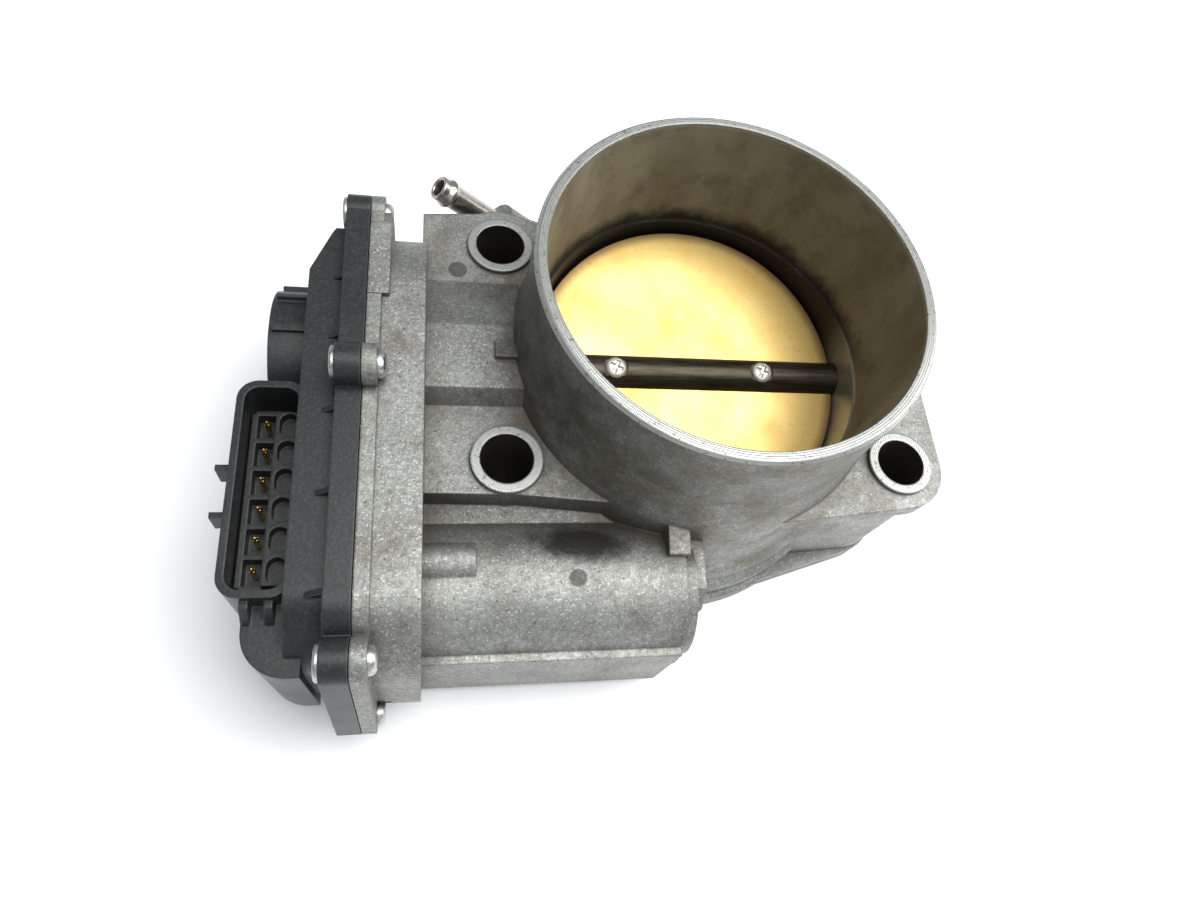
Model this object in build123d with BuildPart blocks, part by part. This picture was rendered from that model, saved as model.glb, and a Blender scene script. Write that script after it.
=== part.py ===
"""Electronic throttle body: cast housing, plastic gear cover, butterfly, gear train and motor.

Millimetres. Origin: centre of the bore on the manifold face. +Z runs out of the air inlet,
+X along the throttle shaft away from the gear case, -Y towards the motor.
"""
from build123d import *
from math import acos, atan2, cos, hypot, pi, radians, sin, tan
import os

os.makedirs("parts", exist_ok=True)

# ---- driving dimensions ----
rim_z = 77.0                 # inlet rim above the manifold face
inlet_r = 42.0
inlet_outer_r = 44.7
hose_seat_z = 57.0           # the outside is parallel from here to the rim
tube_foot_r = 46.6           # drafted outside of the tube where it meets the web
step_z = 45.0                # where the as-cast inlet meets the machined throat
throat_r = 40.75
flange_r = 52.7
flange_t = 7.0

bolt_x = 48.05               # half spacings of the four mounting holes
bolt_y = 29.3
bolt_hole_r = 5.9
boss_z = 44.5                # machined seat under the bolt heads
boss_face_r = 8.1
ear_r = 11.5
ear_z = 43.2
ear_t = 4.5
column_r = 9.6
inner_column_r = 8.2         # the two columns inside the web

shaft_z = 33.0
shaft_r = 4.5
plate_r = 40.45
plate_t = 2.2
rest_deg = 10.0              # the unpowered plate stands this far from square
screw_x = 19.4

motor_y = -54.1
motor_z = 23.7
housing_r = 17.3
can_r = 15.4
can_left = -70.0
can_right = -12.5
rotor_clearance = 0.35

case_back_x = -66.0
case_floor_x = -69.0
joint_x = -78.3              # where the cover meets the case
case_flange_t = 3.0
cover_flange_t = 5.3
level_x = -91.0              # outside of the cover over the gears
bulge_x = -99.3              # outside of the sensor bulge
bulge_r = 16.5
wall = 2.3
wall_inset = 1.0             # case wall behind the flange's edge
cover_joint_x = -78.5        # the gasket fills the gap up to the case
groove_inset = (1.4, 2.8)     # gasket groove, in the middle of the case wall
level_inset = 3.6
level_wall = 2.0

rim_x_left = -103.4          # connector shell
rim_x_right = -89.7
rim_y_front = -61.4
rim_y_back = -15.6
rim_top_z = 52.0
socket_floor_z = 41.0
bank_top_z = 45.6            # the bank of oval recesses beside the pins
shell_wall = 1.5
pin_count = 6
pin_pitch = 6.35
pin_mid_y = -38.5
pin_x = -98.2
pin_top_z = 47.0
pin_width = 0.9
sensor_x = (-93.6, -90.6)    # the sensor stands on a post inside the magnets

gear_clearance = 0.12        # thinning of each tooth at the pitch circle
sector_module = 1.0
sector_teeth = 42
small_teeth = 18
wheel_module = 0.75
wheel_teeth = 55
pinion_teeth = 12
sector_x = (-82.8, -77.8)
sector_room_r = 22.35        # relief in the walls round the sector's teeth
small_x = (-83.6, -77.4)
wheel_x = (-88.2, -84.0)
open_deg = 78.0
close_deg = 7.0

running_fit = 0.03

nipple_tip = Vector(-63.5, 44.0, 47.0)
nipple_root = Vector(-47.8, 44.0, 34.3)
nipple_r = 3.1
shank_r = 2.9                # pressed into the casting
nipple_bore_r = 2.1
bearing_x = (-69.0, -63.0)   # ball bearing at the gear end
bearing_outer_r = 10.0
seal_r = 8.0
near_seal_x = (-62.6, -59.6)
far_bearing_x = (43.8, 53.8)
far_bearing_r = 6.5
far_seal_x = (41.2, 43.6)
plug_x = (54.4, 55.6)
plug_r = 7.5
shaft_end_x = 53.6
idler_pin_r = 2.5
gear_insert_x = (-80.2, -77.8)
hub_x = -96.0                # open end of the magnet cup
yoke_r = 7.6
spring_r = 11.9              # return spring
wire_r = 0.9
spring_pitch = 2.15
spring_x = (-76.7, -70.1)
ball_r = 1.45
ball_circle_r = 7.2
ball_count = 9
screw_r = 1.5                # plate screws
seat_h = 4.0
motor_shaft_r = 1.6
bush_r = 3.0
front_bush_x = (-74.4, -69.6)
rear_bush_x = (-12.6, -8.9)
can_wall = 1.5
bracket_x = (-71.0, -69.0)
holder_x = (-68.6, -64.6)
commutator_x = (-68.0, -62.6)
commutator_r = 4.4
core_x = (-56.5, -24.0)
core_r = 10.6
magnet_x = (-60.0, -20.0)
motor_screw_r = 1.5
blade_y = -66.2
blade_z = (18.4, 26.6)
nipple_length = (nipple_tip - nipple_root).length
stop_screw_x = -74.6
stop_screw_y = 17.0
stop_screw_r = 2.0
stop_tip_z = 30.3
stop_top_z = 47.6
rivet_r = 2.0
lobe_r = 4.4

flange_corners = [5, 9, 10, 6, 5, 8, 6, 5]
case_corners = [23, 12, 12, 8, 6, 8, 6, 20]
level_corners = [7, 12, 12, 8, 6, 8, 6, 16]
cavity_corners = [20.7, 9.7, 9.7, 5.7, 4, 6, 4, 17.7]
groove_corners = [22.7, 11.7, 11.7, 7.7, 5.7, 8, 6, 19.7]
groove_core_corners = [21.3, 10.3, 10.3, 6.3, 4.5, 7, 5, 18.3]

bolt_places = [(-bolt_x, bolt_y), (-bolt_x, -bolt_y), (bolt_x, -bolt_y), (bolt_x, bolt_y)]
rivet_places = [(27.2, 54.6), (-16.0, 60.6), (-73.9, 53.9),
                (-78.1, 16.0), (8.0, 4.5), (27.0, 12.0)]
motor_screw_places = [(motor_y - 13.0, motor_z + 13.0), (motor_y + 13.0, motor_z - 13.0)]


def across(x, y=0.0, z=0.0):
    """A plane square to the shaft at x: its own x runs along +Y, its own y along +Z."""
    return Plane(origin=(x, y, z), x_dir=(0, 1, 0), z_dir=(1, 0, 0))


def rod(x0, x1, y, z, radius, mode=Mode.ADD):
    """Add or cut a cylinder that runs along the shaft's direction from x0 to x1."""
    with Locations(across(x0, y, z)):
        Cylinder(radius, x1 - x0, align=(Align.CENTER, Align.CENTER, Align.MIN), mode=mode)


def swung(points, angle, x):
    """A polygon about the throttle shaft, turned by an angle in degrees."""
    turn = radians(angle)
    turned = [(y * cos(turn) - z * sin(turn), shaft_z + y * sin(turn) + z * cos(turn))
              for y, z in points]
    return polygon(turned, across(x))


def block(low, high, mode=Mode.ADD):
    """Add or cut a box between two corners."""
    middle = tuple((a + b) / 2 for a, b in zip(low, high))
    size = [b - a for a, b in zip(low, high)]
    with Locations(middle):
        Box(*size, mode=mode)


def save(builder, label):
    builder.part.label = label
    export_step(builder.part, f"parts/{label}.step")


# ---- gear centres: the idler stands where both pairs mesh ----
sector_pitch_r = sector_module * sector_teeth / 2
small_pitch_r = sector_module * small_teeth / 2
wheel_pitch_r = wheel_module * wheel_teeth / 2
pinion_pitch_r = wheel_module * pinion_teeth / 2
sector_reach = sector_pitch_r + small_pitch_r
wheel_reach = wheel_pitch_r + pinion_pitch_r
motor_reach = hypot(motor_y, motor_z - shaft_z)
motor_bearing = atan2(motor_z - shaft_z, motor_y)
idler_swing = acos((sector_reach**2 + motor_reach**2 - wheel_reach**2)
                   / (2 * sector_reach * motor_reach))
idler_bearing = motor_bearing - idler_swing
idler_y = sector_reach * cos(idler_bearing)
idler_z = shaft_z + sector_reach * sin(idler_bearing)
pinion_bearing = atan2(motor_z - idler_z, motor_y - idler_y)


def gear_points(module, teeth, first_tooth):
    """Outline of an involute gear whose first tooth is centred on the given angle."""
    pressure = radians(20)
    pitch_r = module * teeth / 2
    base_r = pitch_r * cos(pressure)
    tip_r = pitch_r + 0.95 * module
    root_r = pitch_r - 1.2 * module
    half_tooth = pi / (2 * teeth) - gear_clearance / (2 * pitch_r)
    spread = tan(pressure) - pressure
    start_r = max(base_r, root_r)
    flank = []
    for step in range(4):
        radius = start_r + (tip_r - start_r) * step / 3
        roll = acos(min(1.0, base_r / radius))
        flank.append((radius, half_tooth + spread - (tan(roll) - roll)))
    if root_r < start_r:
        flank.insert(0, (root_r, flank[0][1]))
    outline = []
    for tooth in range(teeth):
        middle = first_tooth + tooth * 2 * pi / teeth
        for radius, half in flank:
            outline.append((radius * cos(middle - half), radius * sin(middle - half)))
        for radius, half in reversed(flank):
            outline.append((radius * cos(middle + half), radius * sin(middle + half)))
    return outline


def case_outline(inset=0.0):
    """Points of the gear case outline, seen along the shaft, from the top back corner round."""
    return [(31 - inset, 58.7 - inset), (-66 + inset / 2, 57.8 - inset),
            (-77.2 + inset, 46 - inset / 2), (-77.2 + inset, 13 + inset),
            (-72 + inset / 2, 4.2 + inset), (-32, 2.2 + inset), (-10, 4.8 + inset),
            (31 - inset, 8 + inset)]


def rounded(points, corners, x):
    """A polygon on the plane square to the shaft at x, each corner with its own radius."""
    with BuildSketch(across(x), mode=Mode.PRIVATE) as shape:
        with BuildLine():
            FilletPolyline(*points, radius=corners, close=True)
        make_face()
    return shape.sketch


def polygon(points, plane):
    with BuildSketch(plane, mode=Mode.PRIVATE) as shape:
        with BuildLine():
            Polyline(*points, close=True)
        make_face()
    return shape.sketch


def front_lobes(x):
    """The flange's front edge, which takes in the two front rivets."""
    with BuildSketch(across(x), mode=Mode.PRIVATE) as shape:
        with Locations(*rivet_places[2:4]):
            Circle(lobe_r)
        make_hull()
    return shape.sketch


# ---- cast housing ----
nipple_plane = Plane(origin=nipple_root, z_dir=nipple_tip - nipple_root)

with BuildPart() as casting:
    # inlet tube and the stepped foot of the manifold flange
    with BuildSketch(Plane.XZ):
        with BuildLine():
            Polyline((0, 0), (flange_r, 0), (flange_r, 5.5), (51.2, 7), (51.2, 11.5),
                     (49.4, 13), (49.4, 18), (47.6, 22), (tube_foot_r, 44),
                     (inlet_outer_r, hose_seat_z), (inlet_outer_r, rim_z - 0.8),
                     (inlet_outer_r - 0.8, rim_z), (0, rim_z), close=True)
        make_face()
    revolve(axis=Axis.Z)
    # manifold flange and its four ears
    with BuildSketch():
        Circle(flange_r - 1.0)
        with Locations(*bolt_places):
            Circle(ear_r - 1.2)
        make_hull()
    extrude(amount=flange_t)
    with Locations(*bolt_places[:2]):
        Cylinder(inner_column_r, ear_z - 1, align=(Align.CENTER, Align.CENTER, Align.MIN))
    # the outer columns join the tube, under ear plates that run tangentially into it
    for place in bolt_places[2:]:
        with BuildSketch():
            Circle(tube_foot_r - 4)
            with Locations(place):
                Circle(column_r)
            make_hull()
        extrude(amount=ear_z - 1)
    with BuildSketch(Plane.XY.offset(ear_z - ear_t)):
        Circle(tube_foot_r - 1)
        with Locations(*bolt_places[2:]):
            Circle(ear_r)
        make_hull()
    extrude(amount=ear_t)
    with BuildSketch(Plane.XY.offset(ear_z - ear_t)):
        with Locations(bolt_places[0]):
            Circle(ear_r)
    extrude(amount=ear_t)
    with BuildSketch(Plane.XY.offset(ear_z)):
        with Locations(*bolt_places):
            Circle(boss_face_r)
    extrude(amount=boss_z - ear_z)
    # web between the gear case and the tube
    web = [(case_back_x - 1, 38.5), (-50, 40), (-30, 36), (0, 30), (0, -40.4), (-14, -40.2),
           (-45, -37.4), (case_back_x - 1, -37)]
    extrude(polygon(web, Plane.XY.offset(ear_z - 13)), amount=13)
    # bridge round the near bearing, with a small pad beside the tube
    bridge = [(19, 30), (19, 43), (3, 48), (-13.5, 48), (-16, 43), (-16, 22), (-10, 17), (10, 17)]
    extrude(polygon(bridge, across(case_back_x - 1)), amount=23)
    pad = [(-6.2, 40), (4.2, 40), (4.2, 46.6), (-6.2, 49.6)]
    extrude(polygon(pad, across(-50.4)), amount=6.8)
    rod(40, plug_x[1] + 1, 0, shaft_z, 9.6)
    # motor housing: round top, upright front wall below a parting ledge, root to the tube
    rod(case_back_x - 1, -8.5, motor_y, motor_z, housing_r)
    skirt = [(-71.3, 31.6), (-71.7, 4.6), (-40, 7), (-34, 12), (-34, 38), (-44, 34), (-60, 31.6)]
    extrude(polygon(skirt, across(case_back_x - 1)), amount=58)
    rod(-9.6, -5.6, motor_y, motor_z, housing_r - 2.2)
    end_lobe = [(-43.5, 38.4), (-57.5, 36.6), (-61, 31), (-61, 14), (-43.5, 12)]
    extrude(polygon(end_lobe, across(-9)), amount=6)
    end_pad = [(-36, 40), (-39.4, 45.2), (-51.2, 42.3), (-51.2, 30), (-36, 30)]
    extrude(polygon(end_pad, across(-12.6)), amount=4.9)
    rod(case_back_x - 1, -55, -51.4, 38.6, 4.4)
    # gear case with its outward flange
    extrude(rounded(case_outline(wall_inset), case_corners, joint_x), amount=case_back_x - joint_x)
    extrude(rounded(case_outline(), flange_corners, joint_x), amount=case_flange_t)
    for place in rivet_places:
        rod(joint_x, joint_x + case_flange_t, *place, lobe_r)
    extrude(front_lobes(joint_x), amount=case_flange_t)
    upper_lip = [(3, 56), (3, 58.7), (22, 58.7), (29, 56.5), (31, 50), (31, 40), (29, 40)]
    extrude(polygon(upper_lip, across(joint_x)), amount=case_flange_t + 1.6)
    # seat for the hose nipple, with a rib back to the column
    rib = [(-54, 34), (-53, 42), (-42, 47), (-33, 44), (-33, 32)]
    extrude(polygon(rib, Plane.XY.offset(24)), amount=11)
    with Locations(nipple_plane):
        Cylinder(6.0, 16, align=(Align.CENTER, Align.CENTER, Align.MAX))

    # bore: as-cast inlet above the machined throat
    with BuildSketch(Plane.XZ):
        with BuildLine():
            Polyline((0, -1), (throat_r, -1), (throat_r, step_z - 0.4), (throat_r + 0.5, step_z),
                     (inlet_r, rim_z), (inlet_r, rim_z + 1), (0, rim_z + 1), close=True)
        make_face()
    revolve(axis=Axis.Z, mode=Mode.SUBTRACT)
    with Locations(*bolt_places):
        Cylinder(bolt_hole_r, boss_z + 2, align=(Align.CENTER, Align.CENTER, Align.MIN),
                 mode=Mode.SUBTRACT)
    # shaft line with its bearing and seal seats
    rod(joint_x, 60, 0, shaft_z, shaft_r + running_fit, Mode.SUBTRACT)
    rod(joint_x, bearing_x[1], 0, shaft_z, bearing_outer_r, Mode.SUBTRACT)
    rod(bearing_x[1], near_seal_x[1], 0, shaft_z, seal_r, Mode.SUBTRACT)
    rod(far_seal_x[0], plug_x[0], 0, shaft_z, far_bearing_r, Mode.SUBTRACT)
    rod(plug_x[0], 60, 0, shaft_z, plug_r, Mode.SUBTRACT)
    # gear cavity
    extrude(rounded(case_outline(wall_inset + wall), cavity_corners, joint_x), amount=case_floor_x - joint_x,
            mode=Mode.SUBTRACT)
    rod(sector_x[0], sector_x[1] + 0.5, 0, shaft_z, sector_room_r, Mode.SUBTRACT)
    # stops for the sector inside the case: a post for the screw and a solid full-open stop
    block((-77.3, 13.6, 9.0), (case_floor_x + 0.5, 20.4, stop_tip_z - 5.5))
    block((-77.3, -6.0, stop_top_z), (case_floor_x + 0.5, -1.8, 56.5))
    # motor pocket and its end bearing recess
    rod(joint_x, can_right + 1.6, motor_y, motor_z, can_r + 0.05, Mode.SUBTRACT)
    rod(can_right, can_right + 4.5, motor_y, motor_z, 5.5, Mode.SUBTRACT)
    for place in motor_screw_places:
        rod(case_floor_x, case_floor_x + 2.5, *place, 1.6, Mode.SUBTRACT)
    rod(case_floor_x, case_floor_x + 2.2, idler_y, idler_z, idler_pin_r, Mode.SUBTRACT)
    for place in rivet_places:
        rod(joint_x - 1, joint_x + 6, *place, rivet_r, Mode.SUBTRACT)
        rod(joint_x + case_flange_t, joint_x + 6, *place, 3.2, Mode.SUBTRACT)
    with Locations(nipple_plane.offset(-9)):
        Cylinder(shank_r, 16, align=(Align.CENTER, Align.CENTER, Align.MIN), mode=Mode.SUBTRACT)
    with Locations(nipple_plane):
        Cylinder(nipple_r + 0.4, 10, align=(Align.CENTER, Align.CENTER, Align.MIN),
                 mode=Mode.SUBTRACT)
    with Locations((stop_screw_x, stop_screw_y, stop_tip_z - 16)):
        Cylinder(stop_screw_r, 20, align=(Align.CENTER, Align.CENTER, Align.MIN),
                 mode=Mode.SUBTRACT)
save(casting, "throttle_body_casting")


# ---- gear cover with the connector ----
cover_back_x = joint_x - cover_flange_t
socket_low = (rim_x_left + shell_wall, rim_y_front + shell_wall)
socket_high = (rim_x_right - shell_wall, rim_y_back - shell_wall)
pin_places = [(pin_x, pin_mid_y + pin_pitch * (n - (pin_count - 1) / 2)) for n in range(pin_count)]
well_top_z = socket_floor_z - 2.5
shell_foot_z = socket_floor_z - 7.5


def shell_outline(inset, z, corner):
    """Rounded rectangle of the connector, seen from above."""
    with BuildSketch(Plane.XY.offset(z), mode=Mode.PRIVATE) as shape:
        with Locations(((rim_x_left + rim_x_right) / 2, (rim_y_front + rim_y_back) / 2)):
            RectangleRounded(rim_x_right - rim_x_left - 2 * inset,
                             rim_y_back - rim_y_front - 2 * inset, corner)
    return shape.sketch


with BuildPart() as level_space:
    # room over the gears, cut off by the slope at the back
    extrude(rounded(case_outline(level_inset + level_wall), cavity_corners, cover_back_x + 0.1),
            amount=level_x + level_wall - cover_back_x - 0.1)
    slope = [(cover_back_x, 26.5), (level_x, 6.5), (level_x, 60), (cover_back_x, 60)]
    extrude(polygon(slope, Plane.XY), amount=80, mode=Mode.SUBTRACT)

with BuildPart() as cover:
    extrude(rounded(case_outline(), flange_corners, cover_joint_x),
            amount=cover_back_x - cover_joint_x)
    for place in rivet_places:
        rod(cover_back_x, cover_joint_x, *place, lobe_r)
    extrude(front_lobes(cover_back_x), amount=cover_joint_x - cover_back_x)
    extrude(rounded(case_outline(level_inset), level_corners, cover_back_x),
            amount=level_x - cover_back_x)
    slope_floor = [(cover_back_x, 60), (level_x - 1, 60), (level_x - 1, 8.6), (cover_back_x, 28.8)]
    extrude(polygon(slope_floor, Plane.XY), amount=80, mode=Mode.SUBTRACT)
    # sensor bulge with ribs round its upper half
    rod(bulge_x, level_x + 1, 0, shaft_z, bulge_r)
    for angle in (30, 62, 95):
        with Locations(across(bulge_x + 0.8, 0, shaft_z)):
            with PolarLocations(bulge_r, 1, start_angle=angle):
                Box(2.4, 1.3, level_x - bulge_x - 0.8,
                    align=(Align.CENTER, Align.CENTER, Align.MIN))
    # terminal block below the connector
    with BuildSketch(Plane.XY.offset(11)):
        with BuildLine():
            FilletPolyline((level_x + 3, -75.2), (bulge_x, -75.2), (bulge_x, -17), (level_x + 3, -17),
                           radius=[0, 9, 3, 0], close=True)
        make_face()
    extrude(amount=35)
    # connector shell, its foot tapering back to the block
    extrude(shell_outline(0, shell_foot_z, 4.2), amount=rim_top_z - shell_foot_z)
    # latch ears and ramp
    for ear_y in (-35.2, -45.2):
        block((-106.2, ear_y, 44.5), (rim_x_left + 0.5, ear_y + 1.2, 50.5))
    ramp = [(rim_y_front + 0.5, 50), (rim_y_front - 1.5, 50), (rim_y_front - 5.2, 44),
            (rim_y_front + 0.5, 44)]
    for ramp_x in (-99.2, -94.8):
        extrude(polygon(ramp, across(ramp_x)), amount=1.6)
    # gussets between the flange and the level
    for gusset_y in (9.5, -5.5, -23.0, -41.0, -61.0):
        gusset = [(cover_back_x + 0.5, 57.2), (cover_back_x + 0.5, 53), (-88.4, 53)]
        extrude(polygon(gusset, Plane.XZ.offset(-gusset_y)), amount=1.2)
    # hollows
    extrude(rounded(case_outline(wall_inset + wall + 0.2), cavity_corners, cover_joint_x),
            amount=cover_back_x - cover_joint_x, mode=Mode.SUBTRACT)
    add(level_space.part, mode=Mode.SUBTRACT)
    rod(bulge_x + 2, level_x + 4, 0, shaft_z, 12.0, Mode.SUBTRACT)
    with BuildSketch(Plane.XY.offset(13.5)):
        with BuildLine():
            FilletPolyline((level_x + 4, -72.7), (bulge_x + 2, -72.7), (bulge_x + 2, -20),
                           (level_x + 4, -20), radius=[0, 7, 1, 0], close=True)
        make_face()
    extrude(amount=well_top_z - 13.5, mode=Mode.SUBTRACT)
    block((-101.2, -58.5, well_top_z - 3), (level_x + 3, -20, well_top_z), Mode.SUBTRACT)
    extrude(shell_outline(shell_wall, socket_floor_z, 3.0), amount=30, mode=Mode.SUBTRACT)
    # inside the socket: a bank with six oval recesses, and walls between the pins
    block((-96.6, -57.4, socket_floor_z - 0.5), (socket_high[0] + 0.2, -19.6, bank_top_z))
    for n in range(pin_count + 1):
        wall_y = pin_mid_y + pin_pitch * (n - pin_count / 2)
        block((-100.9, wall_y - 0.5, socket_floor_z - 0.5), (-96.5, wall_y + 0.5, bank_top_z - 1.2))
    block((-101.6, -57.4, socket_floor_z - 0.5), (-100.4, -19.6, bank_top_z - 1.2))
    with BuildSketch(Plane.XY.offset(bank_top_z - 2.6)):
        with Locations(*[(-93.9, y) for _, y in pin_places]):
            SlotOverall(5.4, 3.8, rotation=90)
    extrude(amount=6, mode=Mode.SUBTRACT)
    # slots for the pins
    with BuildSketch(Plane.XY.offset(well_top_z)):
        with Locations(*pin_places):
            Rectangle(pin_width, pin_width)
    extrude(amount=5, mode=Mode.SUBTRACT)
    # rivet holes, gasket groove, room for the sector, sensor post and the idler pin's seat
    for place in rivet_places:
        rod(cover_back_x - 4, cover_joint_x + 1, *place, rivet_r, Mode.SUBTRACT)
        rod(cover_back_x - 4, cover_back_x, *place, 4.2, Mode.SUBTRACT)
    extrude(rounded(case_outline(groove_inset[0]), groove_corners, cover_joint_x), amount=-1.4,
            mode=Mode.SUBTRACT)
    extrude(rounded(case_outline(groove_inset[1]), groove_core_corners, cover_joint_x), amount=-1.4)
    extrude(rounded(case_outline(wall_inset + wall + 0.2), cavity_corners, cover_joint_x),
            amount=-1.5, mode=Mode.SUBTRACT)
    rod(sector_x[0] - 0.5, sector_x[1], 0, shaft_z, sector_room_r, Mode.SUBTRACT)
    rod(bulge_x + 1, sensor_x[0], 0, shaft_z, 3.6)
    rod(bulge_x + 1, wheel_x[0] - 0.3, idler_y, idler_z, 4.4)
    rod(wheel_x[0] - 1.6, wheel_x[0], idler_y, idler_z, idler_pin_r, Mode.SUBTRACT)
save(cover, "gear_cover")

with BuildPart() as gasket:
    extrude(rounded(case_outline(groove_inset[0]), groove_corners, joint_x), amount=-1.6)
    extrude(rounded(case_outline(groove_inset[1]), groove_core_corners, joint_x), amount=-1.6,
            mode=Mode.SUBTRACT)
save(gasket, "cover_gasket")

with BuildPart() as rivets:
    for place in rivet_places:
        rod(cover_back_x - 1.0, cover_back_x, *place, 3.7)
        rod(cover_back_x, joint_x + case_flange_t, *place, rivet_r)
        rod(joint_x + case_flange_t, joint_x + case_flange_t + 1.8, *place, 2.9)
    domes = rivets.edges().filter_by(GeomType.CIRCLE)
    fillet(domes.group_by(Axis.X)[-1], 1.5)
    fillet(rivets.edges().filter_by(GeomType.CIRCLE).group_by(Axis.X)[0], 0.5)
save(rivets, "cover_rivets")


# ---- electrical pieces in the cover ----
with BuildPart() as pins:
    for x, y in pin_places:
        half = pin_width / 2
        block((x - half, y - half, well_top_z - 1.5), (x + half, y + half, pin_top_z - 0.8))
        with Locations((x, y, pin_top_z - 0.8)):
            Cone(half, 0.2, 0.8, align=(Align.CENTER, Align.CENTER, Align.MIN))
        block((x - half, y - half, well_top_z - 2.4), (x + 5, y + half, well_top_z - 1.5))
save(pins, "connector_terminals")

with BuildPart() as motor_blades:
    for z in blade_z:
        block((bulge_x + 2.4, blade_y - 0.4, z), (can_left - 0.4, blade_y + 0.4, z + 3.0))
save(motor_blades, "motor_supply_blades")

with BuildPart() as sensor:
    block((sensor_x[0], -2.2, shaft_z - 2.2), (sensor_x[1], 2.2, shaft_z + 2.2))
save(sensor, "hall_sensor")

# ---- throttle shaft line ----
plate_tilt = Plane.XY.offset(shaft_z).rotated((rest_deg, 0, 0))

with BuildPart() as shaft:
    rod(gear_insert_x[0], shaft_end_x, 0, shaft_z, shaft_r)
    with BuildSketch(across(-(plate_r + 0.1), 0, shaft_z)):
        Rectangle(20, plate_t, rotation=rest_deg)
    extrude(amount=2 * (plate_r + 0.1), mode=Mode.SUBTRACT)
    with Locations(plate_tilt):
        with Locations((-screw_x, 0, 0), (screw_x, 0, 0)):
            Cylinder(screw_r, 12, mode=Mode.SUBTRACT)
        with Locations((-screw_x, 0, seat_h), (screw_x, 0, seat_h)):
            Cylinder(3.1, 4, align=(Align.CENTER, Align.CENTER, Align.MIN), mode=Mode.SUBTRACT)
save(shaft, "throttle_shaft")

with BuildPart() as plate:
    with Locations(plate_tilt):
        Cylinder(plate_r, plate_t)
        with Locations((-screw_x, 0, 0), (screw_x, 0, 0)):
            Cylinder(screw_r, 12, mode=Mode.SUBTRACT)
    chamfer(plate.edges().filter_by(GeomType.CIRCLE).group_by(SortBy.LENGTH)[-1], 0.3)
save(plate, "throttle_plate")

with BuildPart() as screw:
    Cylinder(screw_r, seat_h + 4.2, align=(Align.CENTER, Align.CENTER, Align.MAX))
    Cylinder(2.7, 1.5, align=(Align.CENTER, Align.CENTER, Align.MIN))
    fillet(screw.edges().group_by(Axis.Z)[-1], 0.7)
    for turn in (0, 90):
        with Locations((0, 0, 1.5)):
            Box(2.9, 0.7, 1.8, rotation=(0, 0, turn + 25), mode=Mode.SUBTRACT)

with BuildPart() as plate_screws:
    with Locations(plate_tilt.offset(seat_h)):
        with Locations((-screw_x, 0, 0), (screw_x, 0, 0)):
            add(screw.part)
save(plate_screws, "plate_screws")

bearing_mid_x = (bearing_x[0] + bearing_x[1]) / 2


def bearing_ring(inner, outer, name):
    with BuildPart() as ring:
        rod(bearing_x[0], bearing_x[1], 0, shaft_z, outer)
        rod(bearing_x[0], bearing_x[1], 0, shaft_z, inner, Mode.SUBTRACT)
        with Locations(across(bearing_mid_x, 0, shaft_z)):
            Torus(ball_circle_r, ball_r + 0.05, mode=Mode.SUBTRACT)
    save(ring, name)


bearing_ring(shaft_r, 6.4, "bearing_inner_ring")
bearing_ring(8.0, bearing_outer_r, "bearing_outer_ring")

with BuildPart() as balls:
    with Locations(across(bearing_mid_x, 0, shaft_z)):
        with PolarLocations(ball_circle_r, ball_count):
            Sphere(ball_r)
save(balls, "bearing_balls")

with BuildPart() as cage:
    rod(bearing_mid_x - 2.1, bearing_mid_x + 2.1, 0, shaft_z, 7.6)
    rod(bearing_mid_x - 2.1, bearing_mid_x + 2.1, 0, shaft_z, 6.8, Mode.SUBTRACT)
    with Locations(across(bearing_mid_x, 0, shaft_z)):
        with PolarLocations(ball_circle_r, ball_count):
            Cylinder(ball_r + 0.06, 6, rotation=(0, 90, 0), mode=Mode.SUBTRACT)
save(cage, "bearing_cage")


def sleeve(x0, x1, y, z, inner, outer, name):
    """A plain tube along the shaft's direction, such as a bush, seal or ring."""
    with BuildPart() as tube:
        rod(x0, x1, y, z, outer)
        rod(x0, x1, y, z, inner, Mode.SUBTRACT)
    save(tube, name)


sleeve(*near_seal_x, 0, shaft_z, shaft_r + running_fit, seal_r, "near_shaft_seal")
sleeve(*far_seal_x, 0, shaft_z, shaft_r + running_fit, far_bearing_r, "far_shaft_seal")
sleeve(*far_bearing_x, 0, shaft_z, shaft_r + running_fit, far_bearing_r, "far_shaft_bush")

with BuildPart() as plug:
    rod(*plug_x, 0, shaft_z, plug_r)
    rod(plug_x[0] + 0.5, plug_x[1], 0, shaft_z, plug_r - 1.2, Mode.SUBTRACT)
save(plug, "shaft_end_plug")

# ---- gears ----
sector_first = idler_bearing
small_first = idler_bearing + pi + pi / small_teeth
wheel_first = pinion_bearing
pinion_first = pinion_bearing + pi + pi / pinion_teeth


def gear_face(module, teeth, first_tooth, x, y, z):
    with BuildSketch(across(x, y, z), mode=Mode.PRIVATE) as shape:
        with BuildLine():
            Polyline(*gear_points(module, teeth, first_tooth), close=True)
        make_face()
    return shape.sketch


def fan(start, end, radius, x):
    """A pie slice about the throttle shaft, wide enough to hold the sector's teeth."""
    steps = 8
    rim = [start + (end - start) * n / steps for n in range(steps + 1)]
    points = [(radius * cos(a), shaft_z + radius * sin(a)) for a in rim]
    return polygon([(0, shaft_z)] + points, across(x))


sector_start = idler_bearing - radians(open_deg + 10)
sector_end = idler_bearing + radians(close_deg + 10)

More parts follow.
